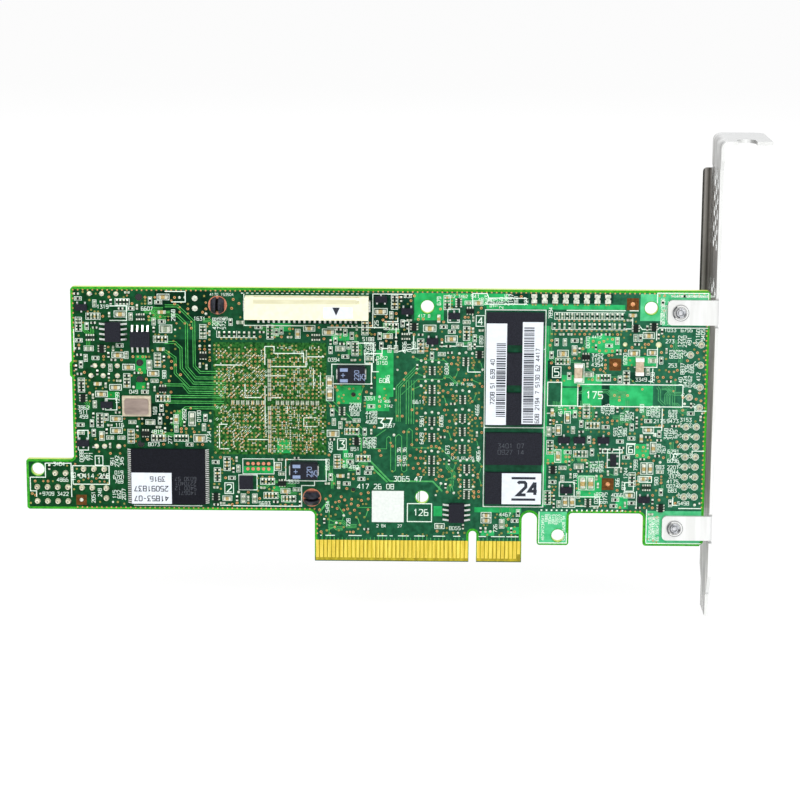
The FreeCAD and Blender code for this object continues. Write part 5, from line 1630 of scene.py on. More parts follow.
# The pairs of tracks that run from the ports' side to the processor.
CORE_PAIRS = (
    (-75.6, 64.3, -72.5, (-68.6, 60.4), -68.6, 49.4, (-67.2, 47.8), -61.8),
    (-75.6, 62, -72.6, (-70.4, 59.8), -70.4, 49, (-68.2, 46.4), -61.4),
    (-75.8, 55.2, -73.2, (-71.8, 53.8), -71.8, 48.8, (-68.8, 45.1), -61),
    (-75.8, 53.2, (-73.3, 51.4), -73.3, 47.6, (-69.8, 43.9), -61),
    (-76, 44.6, -71.4, (-70, 42.8), -61), (-76, 41.7, -61.2), (-76, 40.3, -61.4),
    (-74.6, 34.6, (-73.4, 37), (-70.8, 38.9), -61.8))
# Single tracks, wide ones, and bundles by their count and pitch.
FINE_LINES = (
    (-34.8, 41, (-26.6, 33.2), -26.6, 30.4, (-25, 28.9), -21.4, 31.6, (-20.9, 32.1),
     (-20.4, 31.6), -20.4, 23.5, (-19.8, 23), (-19.2, 23.5), -19.2, 32, (-18.4, 32.6),
     (-17.7, 32), -17.7, 23.5, (-17.1, 23), (-16.4, 23.5), -16.4, 33.5, (-15.8, 34.1),
     (-15.1, 33.5), -15.1, 29.2, -8, (-5, 26), 1, (2.4, 24.6)),
    (-36.2, 41, (-27.4, 32)), (-26, 30.6, (-21.6, 33.8)),
    (-14.4, 51.3, -7.4, (-6.2, 50.2), -6.2, 48, (-7.8, 46.5), -13.8, (-17.8, 42.6)),
    (-36.2, 6.2, (-35.6, 7.4), -35.6, 15.4, (-36.1, 16.2)), (-28.6, 13.9, -25),
    (-33.4, 14.4, (-31.6, 11.6)),
    (30.6, 28.2, (31, 25.6), (32.2, 23.6), (34.6, 22.6), (36, 22.8)),
    (17.9, 60, 17.9, 52.4, (19.4, 51), 25.8, (29.2, 48.2), (31.6, 47.4), 37.6, (39.6, 45.6)))
WIDE_LINES = (
    (-31.2, 32.8, -29, (-27.7, 31.4), -27.7, 28.2), (-26.6, 27, (-20.6, 20.7), -10, (-7.6, 18.2)),
    (-25.2, 24.4, (-21.2, 20.4)), (-35.8, 15.6, (-38, 12.6)))
BUNDLES = (
    (3, 0.5, -18.6, 35.8, -18.6, 44.4, (-13.6, 49.8)), (4, 0.62, -15.7, 35.2, -15.7, 46.2),
    (2, 0.5, 44.8, 45, (45.4, 44.2), 45.4, 41.7, (46.8, 40.3)),
    (3, 0.55, 47.2, 45, (48.6, 43.4), 48.6, 40.3),
    (2, 0.4, 18.6, 60, 18.6, 52.8, (19.8, 51.6), 24.2))
# The plated holes whose places matter.
PLATED_HOLES = (
    (-74.2, 50.5), (-74.2, 48.8), (-75.4, 39.6), (-75.4, 36.4), (-58.9, 66), (-57.5, 65),
    (-59.3, 63.8), (-45.2, 58.8), (1.5, 64.3), (-13.8, 61.4), (-12.6, 61.5), (-13, 28.3),
    (-14.2, 26.6), (-13, 26.6), (-8.2, 26.2), (0.2, 18.2), (1.4, 18.2), (0.2, 16.9), (1.4, 16.9),
    (-35.3, 16.8), (-32.6, 16.6), (-31.7, 15.8), (-33.1, 15.4), (-31, 13.5), (-29.3, 13.2),
    (-28.4, 14.4), (-30.1, 14.8), (-27.6, 15.7), (-25.9, 16.1), (-25.9, 17.7), (-27.7, 17.4),
    (-31.2, 18.7), (40.3, 29.8), (41.8, 29.8), (40.3, 27.7), (41.8, 27.7), (44.8, 47.4),
    (46.2, 47.4), (48.1, 47.4), (28.9, 56.3), (31.5, 56.3), (32.1, 53.9), (33.6, 53.9),
    (30.5, 53.9), (28.9, 46.7))
# The printed lines in the processor's ball field.
FIELD_LINES = (
    (-51.3, 54.4, -51.3, 49.8), (-51.3, 54.4, -49, 52.7, -41.8, 50.4), (-63.6, 49.7, -56.8),
    (-41.2, 51.9, -36.8), (-41.2, 51.9, -41.2, 49.4, -50), (-51.2, 47.1, -46.2),
    (-56.2, 45, -56.2, 41.6, -52.2), (-49.8, 41.6, -47.4), (-51.3, 44.6, -51.3, 34),
    (-62.6, 28.6, -62.6, 34.8, -60.6), (-62.6, 28.6, -60.2), (-55.6, 31, -50.4),
    (-41.8, 36.6, -41.8, 34.4, -38.4), (-41.8, 36.6, -38.6), (-39.4, 49, -39.4, 44),
    (-37.7, 48, -37.7, 44), (-45.8, 39.6, -45.8, 37.6))
# The bigger capacitors: place, length, width, then the turn and whether it is grey.
CAPACITORS = (
    (-86.5, 62.2, 1.7, 0.9), (-87.3, 52, 1.6, 0.8), (-84.7, 49, 1.6, 0.8),
    (-91.5, 42.2, 1.6, 0.8), (-88, 43.9, 1.6, 0.8), (-76, 66.5, 1.6, 0.8),
    (-75.5, 58.6, 1.7, 1.3, 0, True), (-78.7, 47.5, 1.5, 0.8), (-88, 36, 1.6, 0.8),
    (-88, 33, 1.6, 0.8), (-46.6, 56.4, 1.9, 1, 0.25, True), (-45.3, 56.4, 1.9, 1, 0.25),
    (-43.2, 56.8, 2.2, 1.3, 0.25, True), (-40.4, 59, 1.5, 0.8), (-69.3, 36.1, 2, 1, 0.25, True),
    (-68, 36.1, 2, 1, 0.25), (-67.4, 31.2, 1.7, 1.2), (-71, 34, 1.8, 1.2, 0, True),
    (27, 20.6, 2, 1.2, 0.25), (29, 20.6, 2, 1.2, 0.25), (22.8, 15.8, 1.6, 0.9, 0.25),
    (24.5, 15.8, 1.6, 0.9, 0.25), (-23, 63.3, 1.8, 0.9), (-35.4, 45.6, 1.7, 1.1, 0.25),
    (-35.4, 42.6, 1.9, 1.1, 0.25), (-34.6, 32.7, 1.6, 1), (-35.6, 27.4, 1.8, 1, 0.25, True),
    (-48.2, 24.2, 1, 1.1, 0.25), (-48.2, 22.8, 1, 1.1, 0.25), (-56.2, 56.4, 1, 0.6, 0.25, True),
    (-35.6, 58.1, 1.8, 0.9), (20.8, 27.4, 1.8, 0.9, 0.25), (21.6, 53.2, 1.4, 1),
    (42.4, 57.8, 1.5, 0.9), (38.9, 53.4, 1.5, 0.9), (43.4, 53.6, 1.3, 0.8), (-11, 59.2, 1.7, 1),
    (-5.7, 56.6, 1.6, 0.9), (3.3, 12.2, 1.3, 0.8), (3.3, 10.9, 1.3, 0.8), (3.3, 9.6, 1.3, 0.8),
    (1, 10.7, 1.3, 0.7), (5, 9.4, 1.3, 0.7, 0.25), (-8.2, 9.3, 1.2, 0.7, 0, True),
    (42, 24.4, 1.6, 0.8, 0.25), (43.6, 24.4, 1.6, 0.8, 0.25), (41.9, 21.8, 1.3, 0.7),
    (38.6, 17.6, 1.4, 0.8), (44.2, 29.6, 1.6, 0.8, 0.25), (42.9, 34.2, 1.4, 0.7),
    (23, 37.2, 1.6, 0.8, 0.25), (20.8, 34, 1.4, 0.9, 0.25))
# The printed frames and lines.
LEGEND_FRAMES = (
    (2.55, 14.4, 17.3, 63.9), (25.4, 40, 51.1, 45.5), (-34.9, 45.2, -25.2, 50.1),
    (-46.3, 20.6, -36.3, 26), (-57.9, 18.2, -53.4, 22), (-6.6, 60.7, -3.8, 64),
    (21.3, 17.2, 25, 20.8), (33, 24.6, 36, 29.1), (-16.2, 10.4, -10.2, 15),
    (24.6, 45.9, 26.8, 50.7), (18, 40.1, 21.4, 46), (31.8, 28.3, 34.2, 29.2),
    (34.2, 28.3, 36.6, 29.2), (37.4, 18.6, 39.6, 20.8), (41, 20.9, 44, 22.4),
    (31.3, 14.7, 25.2, 17.1), (-90.6, 38.2, -87.8, 41))
LEGEND_LINES = (
    (-56.3, 67.4, -56.3, 59.6, -41.2), (-36, 59.3, -21), (-24.9, 67.6, -24.9, 59.3),
    (-24.9, 67.6, -15.2), (-19.2, 59.3, -19.2, 54.1, -22.6, 52.8, -26.8, 50.4, -25, 48.3, -23.4),
    (-24.7, 55.4, -24.7, 50.5), (-29.6, 55.4, -24.7), (-22, 60.8, -18.8, 61.8),
    (-17.4, 61, -16.1, 58, -15.2), (-14.9, 57.6, -14.9, 54.1, (-18.6, 53.4)),
    (-14.9, 54.1, -13.4), (-10.8, 54, -9.1), (-8.6, 54.8, -3.2), (-2.9, 54.8, 2.2),
    (-0.6, 62.4, -0.6, 67.9, 2.9, (3.3, 66.8), 12.4, 65.3, 2.2), (22.3, 63.9, 36.7),
    (37.6, 63.9, 39.8), (36.3, 59.4, 38.4, 62.8),
    (40.2, 60, (40.8, 59.3), 44.6, (44.9, 59.7), 56.8), (44.3, 65.8, 44.3, 68.3, 56.7, 60.2),
    (44.3, 59.2, 44.3, 56.6), (44.6, 55, 44.6, 49.9, 39), (43.6, 49.6, 43.6, 46.4, 42.6),
    (18.4, 40.1, 25.2), (51.2, 40.1, 54.2, 39, 57), (46.2, 39.6, 46.2, 34), (41, 34.9, 46.2),
    (41.6, 33.3, 44.8, 32.4), (37.6, 30.7, 39.9), (49, 26.6, (49.4, 28.2), 51.4),
    (53.8, 28, 53.8, 28.9, 56.8), (49.4, 17.3, 49.4, 15.1, 50.6), (50.8, 14.3, 56.4),
    (40.4, 18.6, 40.4, 14.6), (43, 14, 43, 5.5), (43, 5.3, 56.6),
    (16.4, 13.2, 16.4, 5.2, 23.3, 7.8), (-62.6, 14.2, -60), (-59.4, 14.1, -42.4, 19.4, -39.2),
    (-39.2, 20.6, -39.2, 19.4), (-47.6, 20.6, -47.6, 19.4), (-105.8, 24.6, -99.4, 16),
    (-109.6, 21, -105.8, 24.6), (-109.6, 21, -109.6, 17.5, -108.1, 16),
    (-99, 19.3, -90, 24, -99, 19.3), (-97.5, 28, -95, 33, -97.5, 28),
    (-75.6, 67.9, -70.6, 65.3, -74), (-84, 14, -67), (-89.2, 64.2, -85, 60.6, -89.2),
    (-98, 58.4, -98, 53), (-1.6, 48.4, 1.6), (-1.6, 50, -1.6, 48.4), (-2.4, 18.7, -0.2),
    (16.9, 54.2, 17.2), (2.6, 34.5, 17.3), (17.9, 38.2, 19.8, 37.4))
# The ends of the dashes over the gold contacts.
DASHES = (
    (-37.8, -37.4), (-36.5, -34.2), (-30.8, -27.5), (-23.7, -21.2), (-20.6, -19.8),
    (-18.5, -15.8), (-14.5, -11.9), (-9.8, -6.8), (-4.8, -3), (1.5, 3.4), (4.6, 8), (8.4, 11.4))
# The printed numbers: text, start and height, first those in a frame.
BOXED_NUMBERS = (
    ("1", -92.9, 24.6, 1.5), ("2", -60.9, 17.6, 1.9), ("3", -33, 29, 1.9), ("4", 0.8, 60.2, 1.8),
    ("5", 19.6, 47.6, 1.8), ("6", 38.2, 28.4, 1.6))
NUMBERS = (
    ("4170 153504", -64.6, 66.9, 0.62), ("1509", -62.6, 60.9, 0.7),
    ("0414 218", -97.3, 20.9, 1.1), ("3065 47", -19.6, 20.7, 1.2),
    ("417 26 08", -28.6, 18.7, 1.2), ("37", -23.6, 34.2, 2.4), ("182", -30.4, 23.7, 0.9),
    ("608", -23.2, 45.6, 1), ("30 2 14 506", -6, 45, 0.62), ("12 0 60 435 88", -5.6, 26.4, 0.62),
    ("118", -13.6, 54.6, 1), ("4612 3462", -7.1, 66.8, 0.7), ("175", 27.5, 42, 1.7),
    ("417 8", -13.8, 61.9, 0.7), ("0452", -23.9, 51.3, 0.8), ("8150", -23.9, 50.1, 0.8),
    ("3142", -22, 39.4, 0.62), ("12 406", -23.6, 40.6, 0.62), ("2 84", -23.8, 8.9, 0.7),
    ("27", -18.6, 8.9, 0.7), ("48 06", 0.8, 66, 0.8), ("126", -14.6, 12, 1.5),
    ("4415", 28.6, 57, 0.7))
# The ends of the rows of small holes along the board's edge.
EDGE_ROWS = (
    ((-98, 68.15), (56, 68.15)), ((-38, 13.45), (-98, 13.45)), ((-98.05, 26.4), (-98.05, 68)),
    ((24.6, 13.45), (41.6, 13.45)), ((56.5, 14.6), (56.5, 67.6)), ((-38.55, 7.2), (-38.55, 12.4)))
# What fills the rest of the solder face, stretch by stretch.
SOLDER_FILLS = (
    (DENSE, (
         (-97.8, 29.2, -90.6, 48), (-97.8, 48, -90.6, 67.6), (-90.6, 29.2, -83.5, 48),
         (-90.6, 48, -83.5, 67.6), (-83.5, 29.5, -76, 67), (-66, 14.4, -42.6, 27),
         (-67.4, 55.4, -56, 61.6), (-36.2, 19.6, -25.2, 39.8), (-36.2, 50.4, -25.2, 60),
         (-56, 55.4, -36, 59.4), (-24.6, 54, -14.6, 67.6), (-9, 54.8, 2.2, 66),
         (-14.6, 52.4, 2.2, 60))),
    (MIXED, (
         (18.2, 14.4, 32, 26), (32, 14.4, 46.4, 26), (32, 26, 46.4, 39.8))),
    (POWER, (
         (-76, 29.5, -64.6, 38.2), (-67.4, 48, -56, 55.4), (18.2, 57.8, 40, 63.6),
         (18.2, 46.2, 38, 58), (18.2, 26, 32, 39.8), (38, 46.4, 46, 60), (-17, 7.4, -1.8, 10.2),
         (1.6, 7.4, 11.4, 12.8))),
    (RINGED, (
         (-76, 38.2, -64.6, 67),)),
    (OPEN, (
         (-14.2, 17.2, 2.2, 53.8), (-38, 7.4, -17, 16), (-36.2, 39.8, -25.2, 45.2))),
    (RINGED, (
         (-24.6, 21.8, -14.2, 54),)),
    (TRACKED, (
         (25.6, 40.4, 51, 45.2),)),
    (PRINTED, (
         (45.6, 46.4, 56.4, 59.4), (46.4, 15, 56.4, 39.6), (44.4, 60, 56.6, 68.2),
         (43.2, 5.6, 47, 14), (-7.4, 64.8, 12.6, 68), (-99.4, 14.4, -85.6, 29),
         (-109.6, 14.2, -99.6, 24.6), (51.2, 40.2, 56.4, 46.4))))
# Copper targets in bare windows of the mask, and the pad in the board's corner.
TARGETS = ((38.35, 65.5), (34.4, 50.5), (33.25, 20.35))
CORNER_TARGET = (-97.0, 15.3)
# The columns of resistor arrays beside the memory: place and levels.
ARRAY_COLUMNS = ((-10.3, (48.7, 44, 41.1, 36, 31.9, 26.2, 23.3)),
                 (-2.8, (41.5, 36.8, 33.4, 29)), (-1.6, (24, 20.3, 17.4)), (-2.1, (51,)))
# The close rows of small chips: start, count, level and whether each has its own frame.
CHIP_ROWS = ((20, 14, 62.5, True), (19.4, 15, 60, False), (-62.4, 8, 57.4, False))
CHIP_PITCH = 1.22
# The width of the broad printed lines, and the height of the dashes over the contacts.
LEGEND_LINE = 0.22
DASH_LEVEL = 6.7
# The row of pale blocks at the top edge.
BLOCK_COUNT, BLOCK_START, BLOCK_PITCH = 8, 14.35, 2.56
# The distance between the small holes along the board's edge.
STITCH = 1.2
# The processor's ball field: its free axes, its first hole, and its holes in a row.
FIELD_X, FIELD_Z = -50.2, 40.4
FIELD_LEFT, FIELD_FOOT = -63.6, 27.6
FIELD_COUNT = 28
# The share of the holes that are there, from the outermost ring inwards.
FIELD_SHARES = (0.5, 0.7, 0.85, 0.95)


@dataclass
class SolderFace(BoardFace):
    """The face that looks away from the big parts, with its print, tracks and small chips."""

    def add_pours(self) -> None:
        """Adds the lighter and darker stretches and the bare windows with their targets."""
        self.pour(self.pours, COPPER_AREAS)
        self.pour(self.pale, PALE_AREAS)
        self.lattice.plate(-64, 27.2, -36.2, 55.4)
        self.pours.disc(31.5, 55.6, 2.6, 28)
        for x, z in ((-62.75, 64.6), (-39.85, 16.35)):
            self.copper.ring(x, z, 1.62, 2.3, 32)
        self.pour(self.shades, BARE_AND_SHADOW_AREAS)
        for x, z in TARGETS:
            self.windows.plate(*about(x, z, 1.45, 1.5))
            self.copper.disc(x, z, 0.4, 14)
            self.vias.put(x, z, (1.15, 1.15, 0.05))
        self.windows.plate(-98.3, 14, -95.7, 16.6)
        self.dot(*CORNER_TARGET, 1.0)
        for spot in (*TARGETS, CORNER_TARGET):
            self.ground.take(about(*spot, 1.6))

    def add_tracks(self) -> None:
        """Adds the tracks that are wide or neat enough to list one by one."""
        for line in CORE_PAIRS:
            self.tracks.bundle(corners(*line), 2, 0.5)
        for rect in ((-69, 38.6, -64.4, 48.2), (-74, 39.4, -66, 46), (-72.4, 48, -68, 58)):
            self.ground.take(rect)
        for line in FINE_LINES:
            self.tracks.run(*corners(*line))
        for count, pitch, *line in BUNDLES:
            self.tracks.bundle(corners(*line), count, pitch)
        for line in WIDE_LINES:
            self.wide_tracks.run(*corners(*line))
        self.add_contact_tails()

    def add_contact_tails(self) -> None:
        """Adds the short tracks that run up from the gold contacts."""
        dice = Dice(31)
        low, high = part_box("edge_contacts_solder")
        top = high.z / MM
        for index in range(round((high.x - low.x) / MM)):
            x = low.x / MM + 0.5 + index
            if -1.6 < x < 1.6:
                continue
            rise = dice.choice((0.5, 0.7, 1.1, 1.4))
            self.tracks.run((x, top), (x, top + rise))
            if rise > 1:
                self.via(x, top + rise + 0.2, 0.5)

    def add_vias(self) -> None:
        """Adds the plated holes and pads whose places matter."""
        for x, z in PLATED_HOLES:
            if self.ground.free(about(x, z, 0.3)) or x > -60:
                self.vias.put(x, z, (0.72, 0.72, 0.06))
                self.ground.take(about(x, z, 0.4))
        for column in range(5):
            for row in range(2):
                self.copper.disc(-55.65 + 1.29 * column, 24.9 - 1.35 * row, 0.42, 12)
        self.legend.frame(-56.9, 22.3, -49.2, 26.1, 0.16)
        self.ground.take((-57.2, 22, -49, 26.4))
        for x, z in ((-68.3, 66.2), (-68.3, 63.7)):
            self.dot(x, z, 1.5)
            self.ground.take(about(x, z, 0.9))
        for level, start in ((67.2, -94), (49.3, -93), (46.8, -94), (29, -93)):
            for x in (start, -91, -87.5):
                self.cream.put(x, level, (1.3, 1.3, 0.4))
                self.ground.take(about(x, level, 0.8))

    def add_posts(self) -> None:
        """Adds the soldered tails of both headers, which carry numbers near the bracket."""
        for name, end, wide in (("tail_header_posts", 0.5, 1.45),
                                ("bracket_header_posts", 0.62, 1.25)):
            for low, high in islands(frame["nodes"][name]):
                x, z = (low.x + high.x) / 2, (low.z + high.z) / 2
                self.joints.put(x, z, (wide, wide, 1.04))
                self.joint_ends.put(x, z, (end, end, 1.07))
                self.ground.take(about(x, z, 0.9))
                if name.startswith("bracket"):
                    self.legend.ring(x, z, 0.74, 0.88, 14)
                    self.numerals.number(str(int(x * 7 + z * 3) % 89 + 10), x - 2, z + 0.5, 0.8,
                                         -0.125, 0.12)

    def field_capacitor(self, x: float, z: float, long: float, wide: float, dice: Dice,
                        turns: Sequence[float] = ()) -> None:
        """Adds a capacitor between the processor's holes.

        Args:
            x: Place along the card.
            z: Height on the card.
            long: Its length.
            wide: Its width.
            dice: The source of its colour and turn.
            turns: The turns to choose from, in whole turns.
        """
        kind = dice.choice((self.grey, self.tan, self.grey))
        self.chip(x, z, long, wide, kind, dice.choice(turns) if turns else 0.0)

    def add_processor_field(self) -> None:
        """Adds the grid of plated holes under the processor with its small capacitors."""
        dice = Dice(12)
        last = FIELD_COUNT - 1
        for row in range(FIELD_COUNT):
            for column in range(FIELD_COUNT):
                x, z = FIELD_LEFT + column, FIELD_FOOT + row
                rim = min(column, last - column, row, last - row)
                if (min(abs(x - FIELD_X), abs(z - FIELD_Z)) > 0.6
                        and dice.random() < FIELD_SHARES[min(rim, 3)]):
                    kind = self.balls if dice.random() < 0.82 else self.vias
                    kind.put(x, z, (0.56, 0.56, 0.05))
        for row in range(last):
            for column in range(last):
                x, z = FIELD_LEFT + 0.5 + column, FIELD_FOOT + 0.5 + row
                if min(abs(x - FIELD_X), abs(z - FIELD_Z)) < 0.8:
                    continue
                chance = dice.random()
                near = abs(x + 50) < 11.5 and abs(z - 41) < 12.5
                if chance < (0.3 if near else 0.08):
                    lean = 0.125 if x < -50 else 0.25
                    self.field_capacitor(x, z, 0.6, 0.3, dice, (0, lean, lean, 0.25))
                elif chance < (0.46 if near else 0.14):
                    self.add_field_dashes(x, z, 0.125 if x < -50 else dice.choice((0, 0.25)))
                elif chance < 0.49:
                    self.dot(x, z, 0.4)
        for index in range(20):
            z = 28.4 + index * 1.18
            if abs(z - FIELD_Z) > 0.8:
                self.field_capacitor(FIELD_X, z, 0.62, 0.95, dice)
        for index in range(18):
            x = -59.2 + index * CHIP_PITCH
            if abs(x - FIELD_X) > 0.8:
                self.field_capacitor(x, FIELD_Z, 0.62, 0.95, dice)
        for line in FIELD_LINES:
            self.legend.stroke(corners(*line), 0.2)
        self.ground.take((-64.2, 27, -36.2, 55.6))

    def add_field_dashes(self, x: float, z: float, lean: float) -> None:
        """Adds two short printed lines side by side, leaning by a part of a turn."""
        for off in (-0.2, 0.2):
            du, dv = 0.34 * math.cos(lean * TURN), 0.34 * math.sin(lean * TURN)
            ax, az = x - off * dv / 0.34, z + off * du / 0.34
            self.legend.stroke([(ax - du, az - dv), (ax + du, az + dv)], 0.1)

    def add_rows(self) -> None:
        """Adds the close rows of small chips at the top and beside the ball field."""
        dice = Dice(5)
        for x0, count, z, frames in CHIP_ROWS:
            for index in range(count):
                x = x0 + index * CHIP_PITCH
                self.chip(x, z, 1.0, 0.5, dice.choice((self.black, self.grey, self.dark)), 0.25)
                self.via(x + 0.5, z - 1.15, 0.5)
                if frames or index % 4 == 0:
                    self.legend.stroke([(x - 0.61, z - 0.85), (x - 0.61, z + 0.85)], 0.12)
            for level in (z - 0.85, z + 0.85)[:2 if frames else 1]:
                self.legend.stroke([(x0 - 0.61, level), (x + 0.61, level)], 0.12)
            self.ground.take((x0 - 0.8, z - 1.3, x + 0.8, z + 1.0))

    def add_stacks(self) -> None:
        """Adds the columns of resistor arrays beside the memory."""
        dice = Dice(1)
        for x, levels in ARRAY_COLUMNS:
            for z in levels:
                self.array(x, z, True, dice)
                self.ground.take(about(x, z, 1.3, 1.5))
                for row in range(4):
                    for side in (-1, 1):
                        off = side * (1.5 + 0.4 * ((row + 1) % 2))
                        self.via(x + off, z - 0.9 + 0.6 * row, 0.52)
                for row in range(3):
                    self.dots.put(x - 1.6 + 1.6 * row, z + 2 + 0.25 * (row % 2), (0.7, 0.7, 0.1))
                self.ground.take((x - 2, z + 1.5, x + 2, z + 2.5))

    def capacitor(self, x: float, z: float, long: float, wide: float, turn: float = 0.0,
                  grey: bool = False) -> None:
        """Adds a bigger capacitor in its printed frame, where the ground is free.

        Args:
            x: Place along the card.
            z: Height on the card.
            long: Its length.
            wide: Its width.
            turn: Its turn in whole turns.
            grey: Whether it is grey and not tan.
        """
        half = (long * 0.72 + 0.3, wide / 2 + 0.3)
        du, dv = half[::-1] if turn else half
        if self.ground.free(about(x, z, du * 0.6, dv * 0.6)):
            self.chip(x, z, long, wide, self.grey if grey else self.tan, turn)
            self.legend.frame(*about(x, z, du, dv), 0.15)
            self.ground.take(about(x, z, du, dv))

    def add_pale_blocks(self) -> None:
        """Adds the row of pale three-part blocks at the top edge."""
        pale = self.stand("pale_blocks", shape_of("pale_block", [
            box_loops(-0.5, 0.5, 0.12, 0.5, 1), box_loops(-0.36, 0.36, -0.2, 0.2, 0.8),
            box_loops(-0.5, 0.5, -0.5, -0.12, 1)]), SOLDER)
        for index in range(BLOCK_COUNT):
            x = BLOCK_START + index * BLOCK_PITCH
            pale.put(x, 66.75, (1.4, 2.2, 0.45))
            for off in (-0.35, 0.35):
                self.via(x + off, 65.25, 0.46)
        pale.build()
        self.ground.take((13, 64.9, 33.6, 68.2))

    def add_legend(self) -> None:
        """Adds the printed frames, lines and numbers."""
        for rect in LEGEND_FRAMES:
            self.legend.frame(*rect, LEGEND_LINE)
        for line in LEGEND_LINES:
            self.legend.stroke(corners(*line), LEGEND_LINE)
        for start, end in DASHES:
            self.legend.stroke([(start, DASH_LEVEL), (end, DASH_LEVEL)], 0.2)
        for text, x, z, tall in BOXED_NUMBERS:
            self.numerals.number(text, x, z, tall, weight=0.12)
            self.legend.frame(x - 0.5, z - 0.4, x + tall * 0.6 + 0.5, z + tall + 0.45, 0.18)
            self.ground.take((x - 0.8, z - 0.6, x + 2.2, z + 2.5))
        for text, x, z, tall in NUMBERS:
            self.numerals.number(text, x, z, tall, weight=0.13)
        # the blank white square for a works stamp
        self.stamp = self.relief("stamp_square", STAMP_WHITE, 0.04)
        self.stamp.plate(-25, 10.2, -17.1, 18.2)
        self.ground.take((-25.4, 7.6, -10, 21.8))
        self.ground.take((-29.8, 18.4, -25.4, 20.4))
        for x in (-17.95, -16.55):
            self.numerals.number("5190 36", x, 24.6, 0.8, 0.25)
        self.add_small_print()

    def add_small_print(self) -> None:
        """Adds the fine lines of numerals at both ends of the bracket side."""
        dice = Dice(8)

        def line(count: int, x: float, z: float, tall: float, turn: float = 0.0) -> None:
            """Prints as many numerals and gaps, drawn by lot."""
            text = "".join(dice.choice("1234567890 ") for _ in range(count))
            self.numerals.number(text, x, z, tall, turn, 0.15)

        for index in range(7):
            x = 17.7 + index * 0.86
            low = 10.0 if abs(x - 20.5) < 2.1 else 5.9
            line(int((13.0 - low) / 0.56), x, low, 0.62, 0.25)
        for index in range(3):
            line(11, 44.3 + index * 0.9, 6, 0.66, 0.25)
        for index in range(6):
            line(5, 45.2, 60.6 + index, 0.66)
            line(8, 47.6 + index * 1.4, 67.3, 0.5)
        self.ground.take((16.4, 5, 23.4, 13.4))
        for index in range(17):
            off = index * 1.25
            self.legend.stroke([(16.8 + off, 13.6), (17.2 + off, 13.6)], 0.4)

    def add_stitching(self) -> None:
        """Adds the rows of small holes that follow the board's edge."""
        for (x0, z0), (x1, z1) in EDGE_ROWS:
            long = math.hypot(x1 - x0, z1 - z0)
            for index in range(int(long / STITCH) + 1):
                share = index * STITCH / long
                self.stitches.put(x0 + (x1 - x0) * share, z0 + (z1 - z0) * share,
                                  (0.44, 0.44, 0.03))
        for index in range(26):
            x = -57 + index * CHIP_PITCH
            self.legend.plate(x, 67.5, x + 0.6, 67.68)

    def add_all(self) -> None:
        """Adds everything on this face in order."""
        self.stitches = self.stand("edge_stitching", ring_shape(6, 0.1), VIA_RING)
        self.balls = self.stand("ball_field_rings", ring_shape(6, 0.2), BALL_RING)
        self.add_margin()
        self.add_contact_bed("edge_contacts_solder", 0.018)
        self.add_pours()
        self.add_tracks()
        self.add_vias()
        self.add_posts()
        self.add_processor_field()
        self.add_rows()
        self.add_stacks()
        for spot in CAPACITORS:
            self.capacitor(*spot)
        self.add_pale_blocks()
        self.add_legend()
        self.add_stitching()
        for index, (mix, rects) in enumerate(SOLDER_FILLS):
            for order, rect in enumerate(rects):
                self.fill(rect, mix, 20 * index + order)
        self.build()


@dataclass
class ComponentFace(BoardFace):
    """The face that carries the processor, the memory and the sockets."""

    def add_tracks(self) -> None:
        """Adds the bundles that join the ports, the processor, the memory and the contacts."""
        for level in (58.25, 37.85):
            for index in range(4):
                z = level - 4.5 + index * 3
                middle = 41 + (z - 41) * 0.45
                self.tracks.bundle(corners(-79, z, -76, (-70, middle), -65.4), 2, 0.4)
        for index in range(5):
            z = 50 - index * 4
            self.tracks.bundle(((-35.6, z), (-32, z + 1), (-31.4, z + 1.6)), 3, 0.45)
            self.tracks.bundle(((-27.2, z), (-14, z + 0.6), (2, z + 0.6)), 4, 0.45)
        for index in range(12):
            x = -36.5 + index * 2.9
            if abs(x) > 1.8:
                self.tracks.bundle(((x, 6), (x, 10), (x - 3, 14), (x - 3, 20)), 2, 0.42)
        for line in ((18.5, 60, 24, (30, 54), 34), (20, 34, 31), (41.5, 30, (46, 26), 50),
                     (-98, 20, -84, (-76, 28))):
            self.wide_tracks.run(*corners(*line))

    def add_pours(self) -> None:
        """Adds the copper areas round the power parts and the mounting holes."""
        self.pour(self.pours, ((-22, 32, -11, 58), (30, 22, 43, 38), (16.6, 5.3, 23.2, 13),
                               (43, 5.4, 56.4, 14), (44.6, 60.4, 56.6, 68), (-38, 8, -30, 12.4)))
        for x, z, radius in self.holes:
            if radius > 1.5:
                self.copper.ring(x, z, radius + 0.05, radius + 0.6, 28)

    def add_all(self) -> None:
        """Adds everything on this face in order."""
        self.add_margin()
        self.add_pours()
        self.add_tracks()
        self.add_contact_bed("edge_contacts_component", 0.006)
        for name in ("processor_package", "module_socket", "battery_lead_socket", "power_coil_a",
                     "power_coil_b", "power_coil_c"):
            low, high = (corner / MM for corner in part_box(name))
            self.legend.frame(low.x - 0.7, low.z - 0.7, high.x + 0.7, high.z + 0.7, 0.2)
        columns = ((-97, -80), (-80, -66), (-36, -24), (-24, -10), (-10, 4), (4, 18), (18, 32),
                   (32, 45), (45, 56))
        grid = [(x0, z0, x1, z1) for x0, x1 in columns
                for z0, z1 in ((14.4, 32), (32, 50), (50, 67.6))]
        rest = ((-66, 14.4, -36, 21), (-66, 61, -36, 67.6), (-109, 14.4, -98, 24.6),
                (-38, 7.4, 11.4, 14))
        for seed, rects in ((60, grid), (91, rest)):
            for index, rect in enumerate(rects):
                self.fill(rect, BACK, seed + index)
        self.build()


# Print on labels and packages

